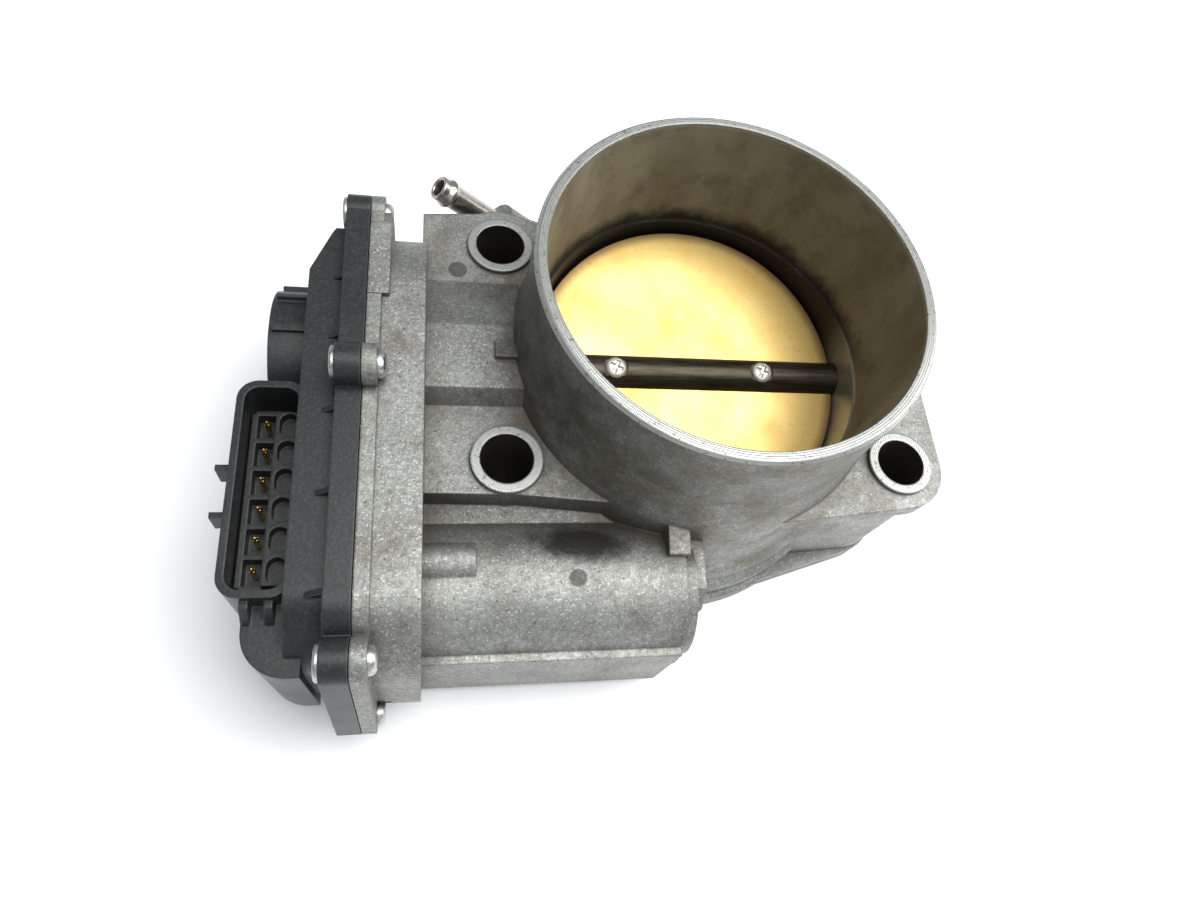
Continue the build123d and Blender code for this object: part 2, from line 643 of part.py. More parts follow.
with BuildPart() as sector:
    extrude(gear_face(sector_module, sector_teeth, sector_first, sector_x[0], 0, shaft_z),
            amount=sector_x[1] - sector_x[0])
    extrude(fan(sector_start, sector_end, sector_pitch_r + 6, sector_x[0] - 1),
            amount=sector_x[1] - sector_x[0] + 2, mode=Mode.INTERSECT)
    rod(sector_x[0], sector_x[1], 0, shaft_z, 12.0)
    rod(sector_x[1], spring_x[1], 0, shaft_z, spring_r - wire_r - 0.5)
    rod(hub_x, sector_x[0], 0, shaft_z, 8.3)
    rod(hub_x, sensor_x[1] + 1.4, 0, shaft_z, yoke_r, Mode.SUBTRACT)
    # stop arm: a bar out from the hub with a tab that reaches into the case
    arm = [(8, -2.5), (19.2, -2.5), (19.2, 2.5), (8, 2.5)]
    tab = [(14.8, -2.5), (19.2, -2.5), (19.2, 2.5), (14.8, 2.5)]
    extrude(swung(arm, close_deg, sector_x[0]), amount=sector_x[1] - sector_x[0])
    extrude(swung(tab, close_deg, sector_x[1]), amount=5.6)
    rod(gear_insert_x[0], spring_x[1] + 1, 0, shaft_z, shaft_r, Mode.SUBTRACT)
    rod(gear_insert_x[0], gear_insert_x[1], 0, shaft_z, 7.2, Mode.SUBTRACT)
    rod(gear_insert_x[1], spring_x[1] + 1, 0, shaft_z, 7.2, Mode.SUBTRACT)
save(sector, "sector_gear")

with BuildPart() as insert:
    rod(*gear_insert_x, 0, shaft_z, 7.2)
    rod(*gear_insert_x, 0, shaft_z, shaft_r, Mode.SUBTRACT)
save(insert, "gear_insert_plate")

with BuildPart() as yoke:
    rod(hub_x + 0.2, sensor_x[1] + 1.4, 0, shaft_z, yoke_r)
    rod(hub_x + 0.2, sensor_x[1] + 1.4, 0, shaft_z, yoke_r - 0.7, Mode.SUBTRACT)
save(yoke, "sensor_yoke_ring")

with BuildPart() as sensor_magnets:
    rod(hub_x + 0.5, sensor_x[1] + 1.2, 0, shaft_z, yoke_r - 0.7)
    rod(hub_x + 0.5, sensor_x[1] + 1.2, 0, shaft_z, yoke_r - 2.2, Mode.SUBTRACT)
    block((hub_x, -10, shaft_z - 1.5), (-88, 10, shaft_z + 1.5), Mode.SUBTRACT)
save(sensor_magnets, "sensor_magnets")

with BuildPart() as idler:
    extrude(gear_face(sector_module, small_teeth, small_first, wheel_x[1], idler_y, idler_z),
            amount=small_x[1] - wheel_x[1])
    extrude(gear_face(wheel_module, wheel_teeth, wheel_first, wheel_x[0], idler_y, idler_z),
            amount=wheel_x[1] - wheel_x[0])
    rod(small_x[1], case_floor_x - 0.3, idler_y, idler_z, 4.2)
    rod(wheel_x[0] - 1, case_floor_x, idler_y, idler_z, idler_pin_r + running_fit, Mode.SUBTRACT)
    with Locations(across(wheel_x[0], idler_y, idler_z)):
        with PolarLocations(14.4, 6):
            Cylinder(2.7, 20, mode=Mode.SUBTRACT)
save(idler, "intermediate_gear")

with BuildPart() as idler_pin:
    rod(wheel_x[0] - 1.6, case_floor_x + 2.2, idler_y, idler_z, idler_pin_r)
save(idler_pin, "intermediate_gear_pin")

with BuildPart() as pinion:
    extrude(gear_face(wheel_module, pinion_teeth, pinion_first, wheel_x[0], motor_y, motor_z),
            amount=wheel_x[1] - wheel_x[0] + 1.5)
    rod(wheel_x[0], wheel_x[1] + 1.5, motor_y, motor_z, motor_shaft_r, Mode.SUBTRACT)
save(pinion, "motor_pinion")

# ---- return spring and closed stop ----
with BuildPart() as spring:
    with BuildLine():
        coil = Helix(spring_pitch, spring_x[1] - spring_x[0], spring_r,
                     center=(spring_x[0], 0, shaft_z), direction=(1, 0, 0))
    with BuildSketch(Plane(origin=coil @ 0, z_dir=coil % 0)):
        Circle(wire_r)
    sweep(is_frenet=True)
save(spring, "return_spring")

with BuildPart() as stop_screw:
    with Locations((stop_screw_x, stop_screw_y, stop_tip_z)):
        Cylinder(stop_screw_r, 16, align=(Align.CENTER, Align.CENTER, Align.MAX))
    chamfer(stop_screw.edges().group_by(Axis.Z)[-1], 0.5)
save(stop_screw, "closed_stop_screw")

# ---- motor ----
with BuildPart() as can:
    rod(can_left + 1, can_right, motor_y, motor_z, can_r)
    rod(can_right, rear_bush_x[1] + 0.4, motor_y, motor_z, 4.6)
    rod(can_left, can_right - 1.4, motor_y, motor_z, can_r - can_wall, Mode.SUBTRACT)
    rod(rear_bush_x[0] - 4, rear_bush_x[1], motor_y, motor_z, bush_r, Mode.SUBTRACT)
    for y in (motor_y - 13, motor_y + 13):
        block((-66.5, y - 1.6, motor_z - 3), (-64.5, y + 1.6, motor_z + 3), Mode.SUBTRACT)
save(can, "motor_can")

with BuildPart() as bracket:
    with BuildSketch(across(bracket_x[0])):
        with Locations((motor_y, motor_z)):
            Circle(can_r - 0.3)
        with Locations(*motor_screw_places):
            Circle(3.6)
        make_hull()
    extrude(amount=bracket_x[1] - bracket_x[0])
    rod(front_bush_x[0] - 0.4, bracket_x[0], motor_y, motor_z, 4.8)
    rod(front_bush_x[0] - 1, bracket_x[1] + 1, motor_y, motor_z, bush_r, Mode.SUBTRACT)
    for place in motor_screw_places:
        rod(bracket_x[0] - 1, bracket_x[1] + 1, *place, motor_screw_r, Mode.SUBTRACT)
    for z in blade_z:
        block((bracket_x[0] - 1, blade_y - 1.2, z - 0.8), (bracket_x[1] + 1, blade_y + 1.2, z + 3.8),
              Mode.SUBTRACT)
save(bracket, "motor_end_bracket")

with BuildPart() as holder:
    rod(*holder_x, motor_y, motor_z, can_r - can_wall)
    rod(*holder_x, motor_y, motor_z, commutator_r + 0.8, Mode.SUBTRACT)
    for side in (-1, 1):
        block((holder_x[0], motor_y - 2.1, motor_z + side * 8 - 3.5),
              (holder_x[1], motor_y + 2.1, motor_z + side * 8 + 3.5), Mode.SUBTRACT)
save(holder, "brush_holder")

with BuildPart() as brushes:
    for side in (-1, 1):
        middle_z = motor_z + side * (commutator_r + 0.1 + 2.8)
        block((holder_x[0] + 0.3, motor_y - 1.9, middle_z - 2.8),
              (holder_x[1], motor_y + 1.9, middle_z + 2.8))
save(brushes, "motor_brushes")

with BuildPart() as field_magnets:
    rod(*magnet_x, motor_y, motor_z, can_r - can_wall)
    rod(*magnet_x, motor_y, motor_z, core_r + rotor_clearance, Mode.SUBTRACT)
    block((magnet_x[0], motor_y - 4, motor_z - 20), (magnet_x[1], motor_y + 4, motor_z + 20),
          Mode.SUBTRACT)
save(field_magnets, "motor_magnets")

sleeve(*front_bush_x, motor_y, motor_z, motor_shaft_r + running_fit, bush_r, "motor_front_bush")
sleeve(*rear_bush_x, motor_y, motor_z, motor_shaft_r + running_fit, bush_r, "motor_rear_bush")

with BuildPart() as motor_screws:
    for place in motor_screw_places:
        rod(bracket_x[0] - 2.2, bracket_x[0], *place, 2.8)
        rod(bracket_x[0], bracket_x[0] + 4.2, *place, motor_screw_r)
save(motor_screws, "motor_screws")

with BuildPart() as washer:
    with BuildSketch(Plane.XZ.offset(-motor_y)):
        with BuildLine():
            Polyline((can_right, motor_z + 6.0), (can_right + 0.5, motor_z + 6.0),
                     (can_right + 1.5, motor_z + 12.5), (can_right + 1.0, motor_z + 12.5), close=True)
        make_face()
    revolve(axis=Axis((0, motor_y, motor_z), (1, 0, 0)))
save(washer, "motor_spring_washer")

with BuildPart() as motor_shaft:
    rod(wheel_x[0], rear_bush_x[1] - 0.3, motor_y, motor_z, motor_shaft_r)
save(motor_shaft, "motor_shaft")

with BuildPart() as core:
    rod(*core_x, motor_y, motor_z, core_r)
    rod(*core_x, motor_y, motor_z, motor_shaft_r, Mode.SUBTRACT)
    with Locations(across((core_x[0] + core_x[1]) / 2, motor_y, motor_z)):
        with PolarLocations(core_r - 2.2, 5):
            Box(6.4, 1.6, 60, mode=Mode.SUBTRACT)
save(core, "armature_core")

with BuildPart() as windings:
    for start, end in ((core_x[0] - 4.5, core_x[0]), (core_x[1], core_x[1] + 4.0)):
        rod(start, end, motor_y, motor_z, core_r - 1.6)
    rod(core_x[0] - 5, core_x[1] + 5, motor_y, motor_z, motor_shaft_r, Mode.SUBTRACT)
    fillet(windings.edges().filter_by(GeomType.CIRCLE)
           .filter_by(lambda edge: edge.radius > core_r - 2), 1.2)
save(windings, "armature_windings")

sleeve(*commutator_x, motor_y, motor_z, motor_shaft_r, commutator_r, "commutator")

# ---- hose nipple ----
with BuildPart() as nipple:
    with Locations(nipple_plane):
        Cylinder(shank_r, 9, align=(Align.CENTER, Align.CENTER, Align.MAX))
        Cylinder(nipple_r, nipple_length, align=(Align.CENTER, Align.CENTER, Align.MIN))
    with Locations(nipple_plane.offset(nipple_length - 4.6)):
        Cone(nipple_r, nipple_r + 0.6, 1.8, align=(Align.CENTER, Align.CENTER, Align.MIN))
    with Locations(nipple_plane.offset(nipple_length - 2.8)):
        Cone(nipple_r + 0.6, nipple_r, 1.0, align=(Align.CENTER, Align.CENTER, Align.MIN))
    with Locations(nipple_plane.offset(nipple_length)):
        Cylinder(nipple_bore_r, 40, mode=Mode.SUBTRACT)
save(nipple, "hose_nipple")
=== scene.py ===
"""Electronic throttle body: finishes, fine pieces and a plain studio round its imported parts.

Metres, in the parts' own frame: origin at the centre of the bore on the manifold face, +Z out
of the air inlet, +X along the throttle shaft away from the gear case.
"""

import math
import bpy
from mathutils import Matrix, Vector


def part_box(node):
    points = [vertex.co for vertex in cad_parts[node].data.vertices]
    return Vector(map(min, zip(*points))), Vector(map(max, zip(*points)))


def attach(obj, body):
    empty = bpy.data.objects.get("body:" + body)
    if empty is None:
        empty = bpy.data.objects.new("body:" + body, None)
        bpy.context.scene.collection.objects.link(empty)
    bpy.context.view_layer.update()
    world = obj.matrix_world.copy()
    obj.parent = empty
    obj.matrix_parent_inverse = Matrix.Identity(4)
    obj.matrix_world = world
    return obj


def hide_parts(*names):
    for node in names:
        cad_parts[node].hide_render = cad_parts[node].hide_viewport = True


bl_info = {
    "name": "Throttle body",
    "version": (1, 0, 0),
    "blender": (4, 5, 0),
    "location": "View3D > Sidebar > Throttle body",
    "description": "Finishes, fine pieces and studio for an electronic throttle body",
    "category": "Object",
}

import bmesh
import bpy
import numpy as np
from bpy.props import FloatProperty, FloatVectorProperty, PointerProperty
from mathutils import Vector

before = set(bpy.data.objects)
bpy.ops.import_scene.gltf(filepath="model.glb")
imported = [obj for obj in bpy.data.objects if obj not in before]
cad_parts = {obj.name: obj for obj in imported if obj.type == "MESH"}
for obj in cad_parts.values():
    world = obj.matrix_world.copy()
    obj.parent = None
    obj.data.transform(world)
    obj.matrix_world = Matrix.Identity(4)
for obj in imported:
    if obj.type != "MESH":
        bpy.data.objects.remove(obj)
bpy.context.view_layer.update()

MM = 0.001

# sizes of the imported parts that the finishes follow, in millimetres
BOLT_PLACE = (48.05, 29.3)  # bolt holes, either side of the bore
BOLT_HOLE_R = 6.0
BOLT_SEAT_R = 8.2
BOLT_SEAT_Z = 44.1
INLET_R = 42.25
THROAT_TOP_Z = 44.8  # the step where the inlet narrows to the throat
RIM_Z = 76.2
SHAFT_Z = 33.0


def linear(code):
    """An sRGB hex colour as linear RGBA, by the standard curve."""
    parts = [int(code[i : i + 2], 16) / 255 for i in (1, 3, 5)]
    return [c / 12.92 if c < 0.04045 else ((c + 0.055) / 1.055) ** 2.4 for c in parts] + [1.0]


def per_mm(size):
    """The scale of a texture whose features are this many millimetres across."""
    return 1000.0 / size


# ---- surfaces -------------------------------------------------------------------------------


def axes_about(direction):
    """Two unit vectors square to a direction and to each other."""
    along = np.asarray(direction, float)
    along = along / np.linalg.norm(along)
    helper = np.array([0.0, 0.0, 1.0]) if abs(along[2]) < 0.9 else np.array([0.0, 1.0, 0.0])
    first = np.cross(helper, along)
    first /= np.linalg.norm(first)
    return along, first, np.cross(along, first)


def skin(name, grid):
    """A mesh object over a grid of points: row i joins row i + 1, and the last row the first."""
    rows, cols = grid.shape[:2]
    i, j = np.meshgrid(np.arange(rows), np.arange(cols - 1), indexing="ij")
    after = (i + 1) % rows
    corners = [i * cols + j, after * cols + j, after * cols + j + 1, i * cols + j + 1]
    quads = np.stack(corners, -1).reshape(-1, 4)
    mesh = bpy.data.meshes.new(name)
    mesh.from_pydata(grid.reshape(-1, 3).tolist(), [], quads.tolist())
    mesh.validate()
    return dressed(name, mesh)


def dressed(name, mesh):
    """Merge doubles, turn the faces outwards, smooth all but the sharp edges, and link."""
    work = bmesh.new()
    work.from_mesh(mesh)
    bmesh.ops.remove_doubles(work, verts=work.verts, dist=1e-7)
    bmesh.ops.dissolve_degenerate(work, edges=work.edges, dist=1e-8)
    bmesh.ops.recalc_face_normals(work, faces=work.faces)
    work.to_mesh(mesh)
    work.free()
    mesh.polygons.foreach_set("use_smooth", np.ones(len(mesh.polygons), bool))
    mesh.set_sharp_from_angle(angle=math.radians(32))
    piece = bpy.data.objects.new(name, mesh)
    bpy.context.scene.collection.objects.link(piece)
    return piece


def turned(name, profile, origin, direction, steps=128):
    """A profile of (height, radius) pairs carried round an axis:
    point = origin + height * axis + radius * (cos t * first + sin t * second)."""
    along, first, second = axes_about(direction)
    t = np.linspace(0, 2 * np.pi, steps, endpoint=False)[:, None, None]
    height, radius = np.asarray(profile, float).T[:, None, :, None]
    grid = np.asarray(origin, float) + height * along + radius * (np.cos(t) * first + np.sin(t) * second)
    return skin(name, grid)


# ---- materials ------------------------------------------------------------------------------


def start(name, **shader_values):
    """A new material whose Principled shader has these plain values."""
    material = bpy.data.materials.new(name)
    material.use_nodes = True
    tree = material.node_tree
    shader = tree.nodes["Principled BSDF"]
    for key, value in shader_values.items():
        shader.inputs[key.replace("_", " ")].default_value = value
    return material, tree, shader


def add(tree, kind, values=None, links=None, output=None, **settings):
    """Add one node and return the socket it gives.

    settings are the node's own choices, values its numbers and colours, and links the sockets
    that feed it. A key is an input's name or its index."""
    node = tree.nodes.new(kind)
    for name, choice in settings.items():
        setattr(node, name, choice)

    def socket(key):
        if isinstance(key, int):
            return node.inputs[key]
        return next(s for s in node.inputs if s.enabled and s.name == key)

    for key, value in (values or {}).items():
        socket(key).default_value = value
    for key, source in (links or {}).items():
        tree.links.new(source, socket(key))
    if output:
        return node.outputs[output]
    return next(s for s in node.outputs if s.enabled)


def cast_aluminium(look):
    """Die-cast aluminium, blasted, with turned seats and a sooty air passage.

    The eye sees a pale mottled skin with bright flecks, painted shade and brown soiling in every corner,
    painted shade on the tube's outside and in the bolt holes, bright turned rings on the rim and the bolt
    seats, and a brown film inside the inlet."""
    material, tree, shader = start("cast_aluminium_with_turned_seats")
    place = add(tree, "ShaderNodeTexCoord", output="Object")
    height = add(tree, "ShaderNodeSeparateXYZ", links={"Vector": place}, output="Z")
    depth = add(tree, "ShaderNodeSeparateXYZ", links={"Vector": place}, output="Y")
    flat = add(tree, "ShaderNodeVectorMath", {1: (1, 1, 0)}, {0: place}, operation="MULTIPLY")
    radius = add(tree, "ShaderNodeVectorMath", None, {0: flat}, operation="LENGTH")
    folded = add(tree, "ShaderNodeVectorMath", None, {0: flat}, operation="ABSOLUTE")
    from_bolt = add(
        tree,
        "ShaderNodeVectorMath",
        {1: (BOLT_PLACE[0] * MM, BOLT_PLACE[1] * MM, 0)},
        {0: folded},
        operation="DISTANCE",
    )

    # where each finish lies: a mask each, with edges 0.2 mm wide
    inside = add(
        tree,
        "ShaderNodeMapRange",
        {"From Min": (INLET_R + 0.1) * MM, "From Max": (INLET_R - 0.1) * MM},
        {"Value": radius},
    )
    below_step = add(
        tree,
        "ShaderNodeMapRange",
        {"From Min": (THROAT_TOP_Z + 0.1) * MM, "From Max": (THROAT_TOP_Z - 0.1) * MM},
        {"Value": height},
    )
    throat = add(tree, "ShaderNodeMath", None, {0: inside, 1: below_step}, operation="MULTIPLY")
    rim = add(
        tree,
        "ShaderNodeMapRange",
        {"From Min": (RIM_Z - 0.1) * MM, "From Max": (RIM_Z + 0.1) * MM},
        {"Value": height},
    )
    near_bolt = add(
        tree,
        "ShaderNodeMapRange",
        {"From Min": (BOLT_SEAT_R + 0.05) * MM, "From Max": (BOLT_SEAT_R - 0.1) * MM},
        {"Value": from_bolt},
    )
    seat_level = add(
        tree,
        "ShaderNodeMapRange",
        {"From Min": (BOLT_SEAT_Z - 0.2) * MM, "From Max": (BOLT_SEAT_Z + 0.2) * MM},
        {"Value": height},
    )
    seat = add(tree, "ShaderNodeMath", None, {0: near_bolt, 1: seat_level}, operation="MULTIPLY")
    # mask of the bolt holes' walls, which get painted shade below
    hole_shade = add(
        tree,
        "ShaderNodeMapRange",
        {"From Min": (BOLT_HOLE_R + 0.1) * MM, "From Max": (BOLT_HOLE_R - 0.05) * MM},
        {"Value": from_bolt},
    )
    joint_face = add(
        tree, "ShaderNodeMapRange", {"From Min": 0.3 * MM, "From Max": 0.1 * MM}, {"Value": height}
    )
    turned_a = add(tree, "ShaderNodeMath", None, {0: rim, 1: seat}, operation="MAXIMUM")
    turned_b = add(tree, "ShaderNodeMath", None, {0: turned_a, 1: joint_face}, operation="MAXIMUM")
    machined = add(tree, "ShaderNodeMath", None, {0: turned_b, 1: throat}, operation="MAXIMUM")

    # cast skin: clouds 14 mm across, grain 1.3 mm, flecks 0.45 mm, pits 1.8 mm apart
    clouds = add(
        tree, "ShaderNodeTexNoise", {"Scale": per_mm(14), "Detail": 3.0, "Roughness": 0.6}, {"Vector": place}
    )
    grain = add(
        tree,
        "ShaderNodeTexNoise",
        {"Scale": per_mm(look.grain / MM * 1.3), "Detail": 6.0, "Roughness": 0.75},
        {"Vector": place},
    )
    fleck = add(tree, "ShaderNodeTexNoise", {"Scale": per_mm(0.45), "Detail": 4.0}, {"Vector": place})
    pits = add(tree, "ShaderNodeTexVoronoi", {"Scale": per_mm(1.8)}, {"Vector": place})
    grain_tone = add(
        tree, "ShaderNodeMapRange", {"From Min": 0.3, "From Max": 0.7}, {"Value": grain}
    )
    skin_colour = add(
        tree,
        "ShaderNodeMix",
        {"A": linear("#73746f"), "B": linear("#a2a39d")},
        {"Factor": grain_tone},
        data_type="RGBA",
    )
    cloud_tone = add(
        tree,
        "ShaderNodeMapRange",
        {"From Min": 0.35, "From Max": 0.65, "To Min": 0.55, "To Max": 0.0},
        {"Value": clouds},
    )
    clouded = add(
        tree,
        "ShaderNodeMix",
        {"B": linear("#686862")},
        {"Factor": cloud_tone, "A": skin_colour},
        data_type="RGBA",
    )
    fleck_mask = add(
        tree,
        "ShaderNodeMapRange",
        {"From Min": 0.56, "From Max": 0.70, "To Max": 0.6},
        {"Value": fleck},
    )
    flecked = add(
        tree,
        "ShaderNodeMix",
        {"B": linear("#d4d5d1")},
        {"Factor": fleck_mask, "A": clouded},
        data_type="RGBA",
    )
    pit_mask = add(
        tree,
        "ShaderNodeMapRange",
        {"From Min": 0.16, "From Max": 0.06, "To Max": 0.7},
        {"Value": pits},
    )
    pitted = add(
        tree,
        "ShaderNodeMix",
        {"B": linear("#4a4944")},
        {"Factor": pit_mask, "A": flecked},
        data_type="RGBA",
    )

    # painted shade and brown soiling, darker where ambient occlusion finds the shape closed in
    openness = add(
        tree, "ShaderNodeAmbientOcclusion", {"Distance": 12 * MM}, output="AO", samples=6
    )
    patchy = add(
        tree, "ShaderNodeTexNoise", {"Scale": per_mm(5), "Detail": 5.0, "Roughness": 0.7}, {"Vector": place}
    )
    closed_in = add(tree, "ShaderNodeMath", {1: 0.30}, {0: patchy}, operation="MULTIPLY")
    open_with_patches = add(tree, "ShaderNodeMath", None, {0: openness, 1: closed_in}, operation="ADD")
    corner_shade_and_dirt = add(
        tree,
        "ShaderNodeMapRange",
        {"From Min": 0.92, "From Max": 0.48, "To Max": 0.9},
        {"Value": open_with_patches},
        interpolation_type="SMOOTHSTEP",
    )
    outside = add(
        tree,
        "ShaderNodeMix",
        {"B": linear("#3d3a32")},
        {"Factor": corner_shade_and_dirt, "A": pitted},
        data_type="RGBA",
    )

    # brown grime in patches 11 mm across, thicker round the tube's foot
    grime_spread = add(
        tree, "ShaderNodeTexNoise", {"Scale": per_mm(11), "Detail": 6.0, "Roughness": 0.7}, {"Vector": place}
    )
    foot = add(
        tree,
        "ShaderNodeMapRange",
        {"From Min": 56 * MM, "From Max": 45 * MM, "To Min": 0.0, "To Max": 0.14},
        {"Value": radius},
        interpolation_type="SMOOTHSTEP",
    )
    grime_sum = add(tree, "ShaderNodeMath", None, {0: grime_spread, 1: foot}, operation="ADD")
    grime = add(
        tree,
        "ShaderNodeMapRange",
        {"From Min": 0.52, "From Max": 0.75, "To Max": 0.75},
        {"Value": grime_sum},
    )
    soiled = add(
        tree,
        "ShaderNodeMix",
        {"B": linear("#5b5647")},
        {"Factor": grime, "A": outside},
        data_type="RGBA",
    )

    # painted shade: the tube's outside is darkened to a dark grey, more from its foot upwards
    round_tube = add(
        tree, "ShaderNodeMapRange", {"From Min": 47.5 * MM, "From Max": 45.5 * MM}, {"Value": radius}
    )
    up_tube = add(
        tree,
        "ShaderNodeMapRange",
        {"From Min": 44 * MM, "From Max": 56 * MM, "To Max": 0.3},
        {"Value": height},
        interpolation_type="SMOOTHSTEP",
    )
    tube_shade = add(tree, "ShaderNodeMath", None, {0: round_tube, 1: up_tube}, operation="MULTIPLY")
    tube_shaded = add(
        tree,
        "ShaderNodeMix",
        {"B": linear("#4f4f48")},
        {"Factor": tube_shade, "A": soiled},
        data_type="RGBA",
    )

    # an old oil smear, 20 mm by 10 mm, on the web beside the motor
    smear_place = add(
        tree,
        "ShaderNodeMapping",
        {
            "Location": (-32 * MM, -47 * MM, 40.5 * MM),
            "Rotation": (0, 0, math.radians(-8)),
            "Scale": (10.5, 5, 7),
        },
        {"Vector": place},
        vector_type="TEXTURE",
    )
    smear_reach = add(tree, "ShaderNodeVectorMath", None, {0: smear_place}, operation="LENGTH")
    smear_edge = add(tree, "ShaderNodeMath", {1: 1.1 * MM}, {0: patchy}, operation="MULTIPLY")
    smear_far = add(tree, "ShaderNodeMath", None, {0: smear_reach, 1: smear_edge}, operation="ADD")
    smear = add(
        tree,
        "ShaderNodeMapRange",
        {"From Min": 1.9 * MM, "From Max": 1.1 * MM, "To Max": 0.9},
        {"Value": smear_far},
        interpolation_type="SMOOTHSTEP",
    )
    smeared = add(
        tree,
        "ShaderNodeMix",
        {"B": linear("#2b2925")},
        {"Factor": smear, "A": tube_shaded},
        data_type="RGBA",
    )

    # the shallow round marks that ejector pins leave: a centre and a radius each
    marks = []
    for spot, reach in (((-33.2, -55.6, 40.5), 2.2), ((-58.6, 22.0, 43.0), 2.5)):
        away = add(
            tree, "ShaderNodeVectorMath", {1: [c * MM for c in spot]}, {0: place}, operation="DISTANCE"
        )
        mark = add(
            tree,
            "ShaderNodeMapRange",
            {"From Min": reach * MM, "From Max": (reach - 0.4) * MM, "To Max": 0.75},
            {"Value": away},
        )
        marks.append(mark)
    dimple = add(tree, "ShaderNodeMath", None, {0: marks[0], 1: marks[1]}, operation="MAXIMUM")
    marked = add(
        tree,
        "ShaderNodeMix",
        {"B": linear("#3f3d37")},
        {"Factor": dimple, "A": smeared},
        data_type="RGBA",
    )

    # turned faces: rings 0.5 mm apart round the bore, with dark specks
    rings = add(tree, "ShaderNodeMath", {1: 2 * math.pi / (0.5 * MM)}, {0: radius}, operation="MULTIPLY")
    ring_wave = add(tree, "ShaderNodeMath", None, {0: rings}, operation="SINE")
    speck = add(tree, "ShaderNodeTexNoise", {"Scale": per_mm(0.8), "Detail": 2.0}, {"Vector": place})
    speck_mask = add(
        tree,
        "ShaderNodeMapRange",
        {"From Min": 0.62, "From Max": 0.7, "To Max": 0.8},
        {"Value": speck},
    )
    bright = add(
        tree,
        "ShaderNodeMix",
        {"A": linear("#a3a49f"), "B": linear("#5e5b52")},
        {"Factor": speck_mask},
        data_type="RGBA",
    )
    finished = add(
        tree, "ShaderNodeMix", None, {"Factor": machined, "A": marked, "B": bright}, data_type="RGBA"
    )
    # painted shade: the bolt holes' walls darkened to a brown grey
    hole_shaded = add(
        tree,
        "ShaderNodeMix",
        {"B": linear("#3f3c35")},
        {"Factor": hole_shade, "A": finished},
        data_type="RGBA",
    )

    # inside the inlet: a brown film in upright streaks, and soot above the raised plate edge
    stretched = add(tree, "ShaderNodeMapping", {"Scale": (1, 1, 0.35)}, {"Vector": place})
    streak = add(
        tree, "ShaderNodeTexNoise", {"Scale": per_mm(9), "Detail": 5.0}, {"Vector": stretched}
    )
    film_mix = add(tree, "ShaderNodeMapRange", {"From Min": 0.3, "From Max": 0.7}, {"Value": streak})
    film = add(
        tree,
        "ShaderNodeMix",
        {"A": list(look.film) + [1.0], "B": linear("#857d68")},
        {"Factor": film_mix},
        data_type="RGBA",
    )
    blotch = add(
        tree, "ShaderNodeTexNoise", {"Scale": per_mm(9), "Detail": 5.0, "Roughness": 0.65}, {"Vector": place}
    )
    blotch_mask = add(
        tree,
        "ShaderNodeMapRange",
        {"From Min": 0.5, "From Max": 0.72, "To Max": 0.55},
        {"Value": blotch},
    )
    stained = add(
        tree,
        "ShaderNodeMix",
        {"B": linear("#453e2d")},
        {"Factor": blotch_mask, "A": film},
        data_type="RGBA",
    )
    blotch_lift = add(tree, "ShaderNodeMath", {1: 9 * MM}, {0: blotch}, operation="MULTIPLY")
    soot_height = add(tree, "ShaderNodeMath", None, {0: height, 1: blotch_lift}, operation="SUBTRACT")
    soot_low = add(
        tree,
        "ShaderNodeMapRange",
        {"From Min": 47 * MM, "From Max": 40.5 * MM},
        {"Value": soot_height},
        interpolation_type="SMOOTHSTEP",
    )
    soot_back = add(
        tree,
        "ShaderNodeMapRange",
        {"From Min": -12 * MM, "From Max": 14 * MM},
        {"Value": depth},
        interpolation_type="SMOOTHSTEP",
    )
    soot = add(tree, "ShaderNodeMath", None, {0: soot_low, 1: soot_back}, operation="MULTIPLY")
    sooty = add(
        tree,
        "ShaderNodeMix",
        {"B": linear("#15130e")},
        {"Factor": soot, "A": stained},
        data_type="RGBA",
    )
    above_step = add(tree, "ShaderNodeMath", {0: 1.0}, {1: below_step}, operation="SUBTRACT")
    filmed = add(tree, "ShaderNodeMath", {1: 0.3}, {0: below_step}, operation="MULTIPLY")
    film_cover = add(tree, "ShaderNodeMath", None, {0: above_step, 1: filmed}, operation="ADD")
    film_soot = add(tree, "ShaderNodeMath", None, {0: film_cover, 1: soot}, operation="MAXIMUM")
    film_inside = add(tree, "ShaderNodeMath", None, {0: film_soot, 1: inside}, operation="MULTIPLY")
    not_rim = add(tree, "ShaderNodeMath", {0: 1.0}, {1: rim}, operation="SUBTRACT")
    film_amount = add(tree, "ShaderNodeMath", None, {0: film_inside, 1: not_rim}, operation="MULTIPLY")
    colour = add(
        tree, "ShaderNodeMix", None, {"Factor": film_amount, "A": hole_shaded, "B": sooty}, data_type="RGBA"
    )
    tree.links.new(colour, shader.inputs["Base Color"])

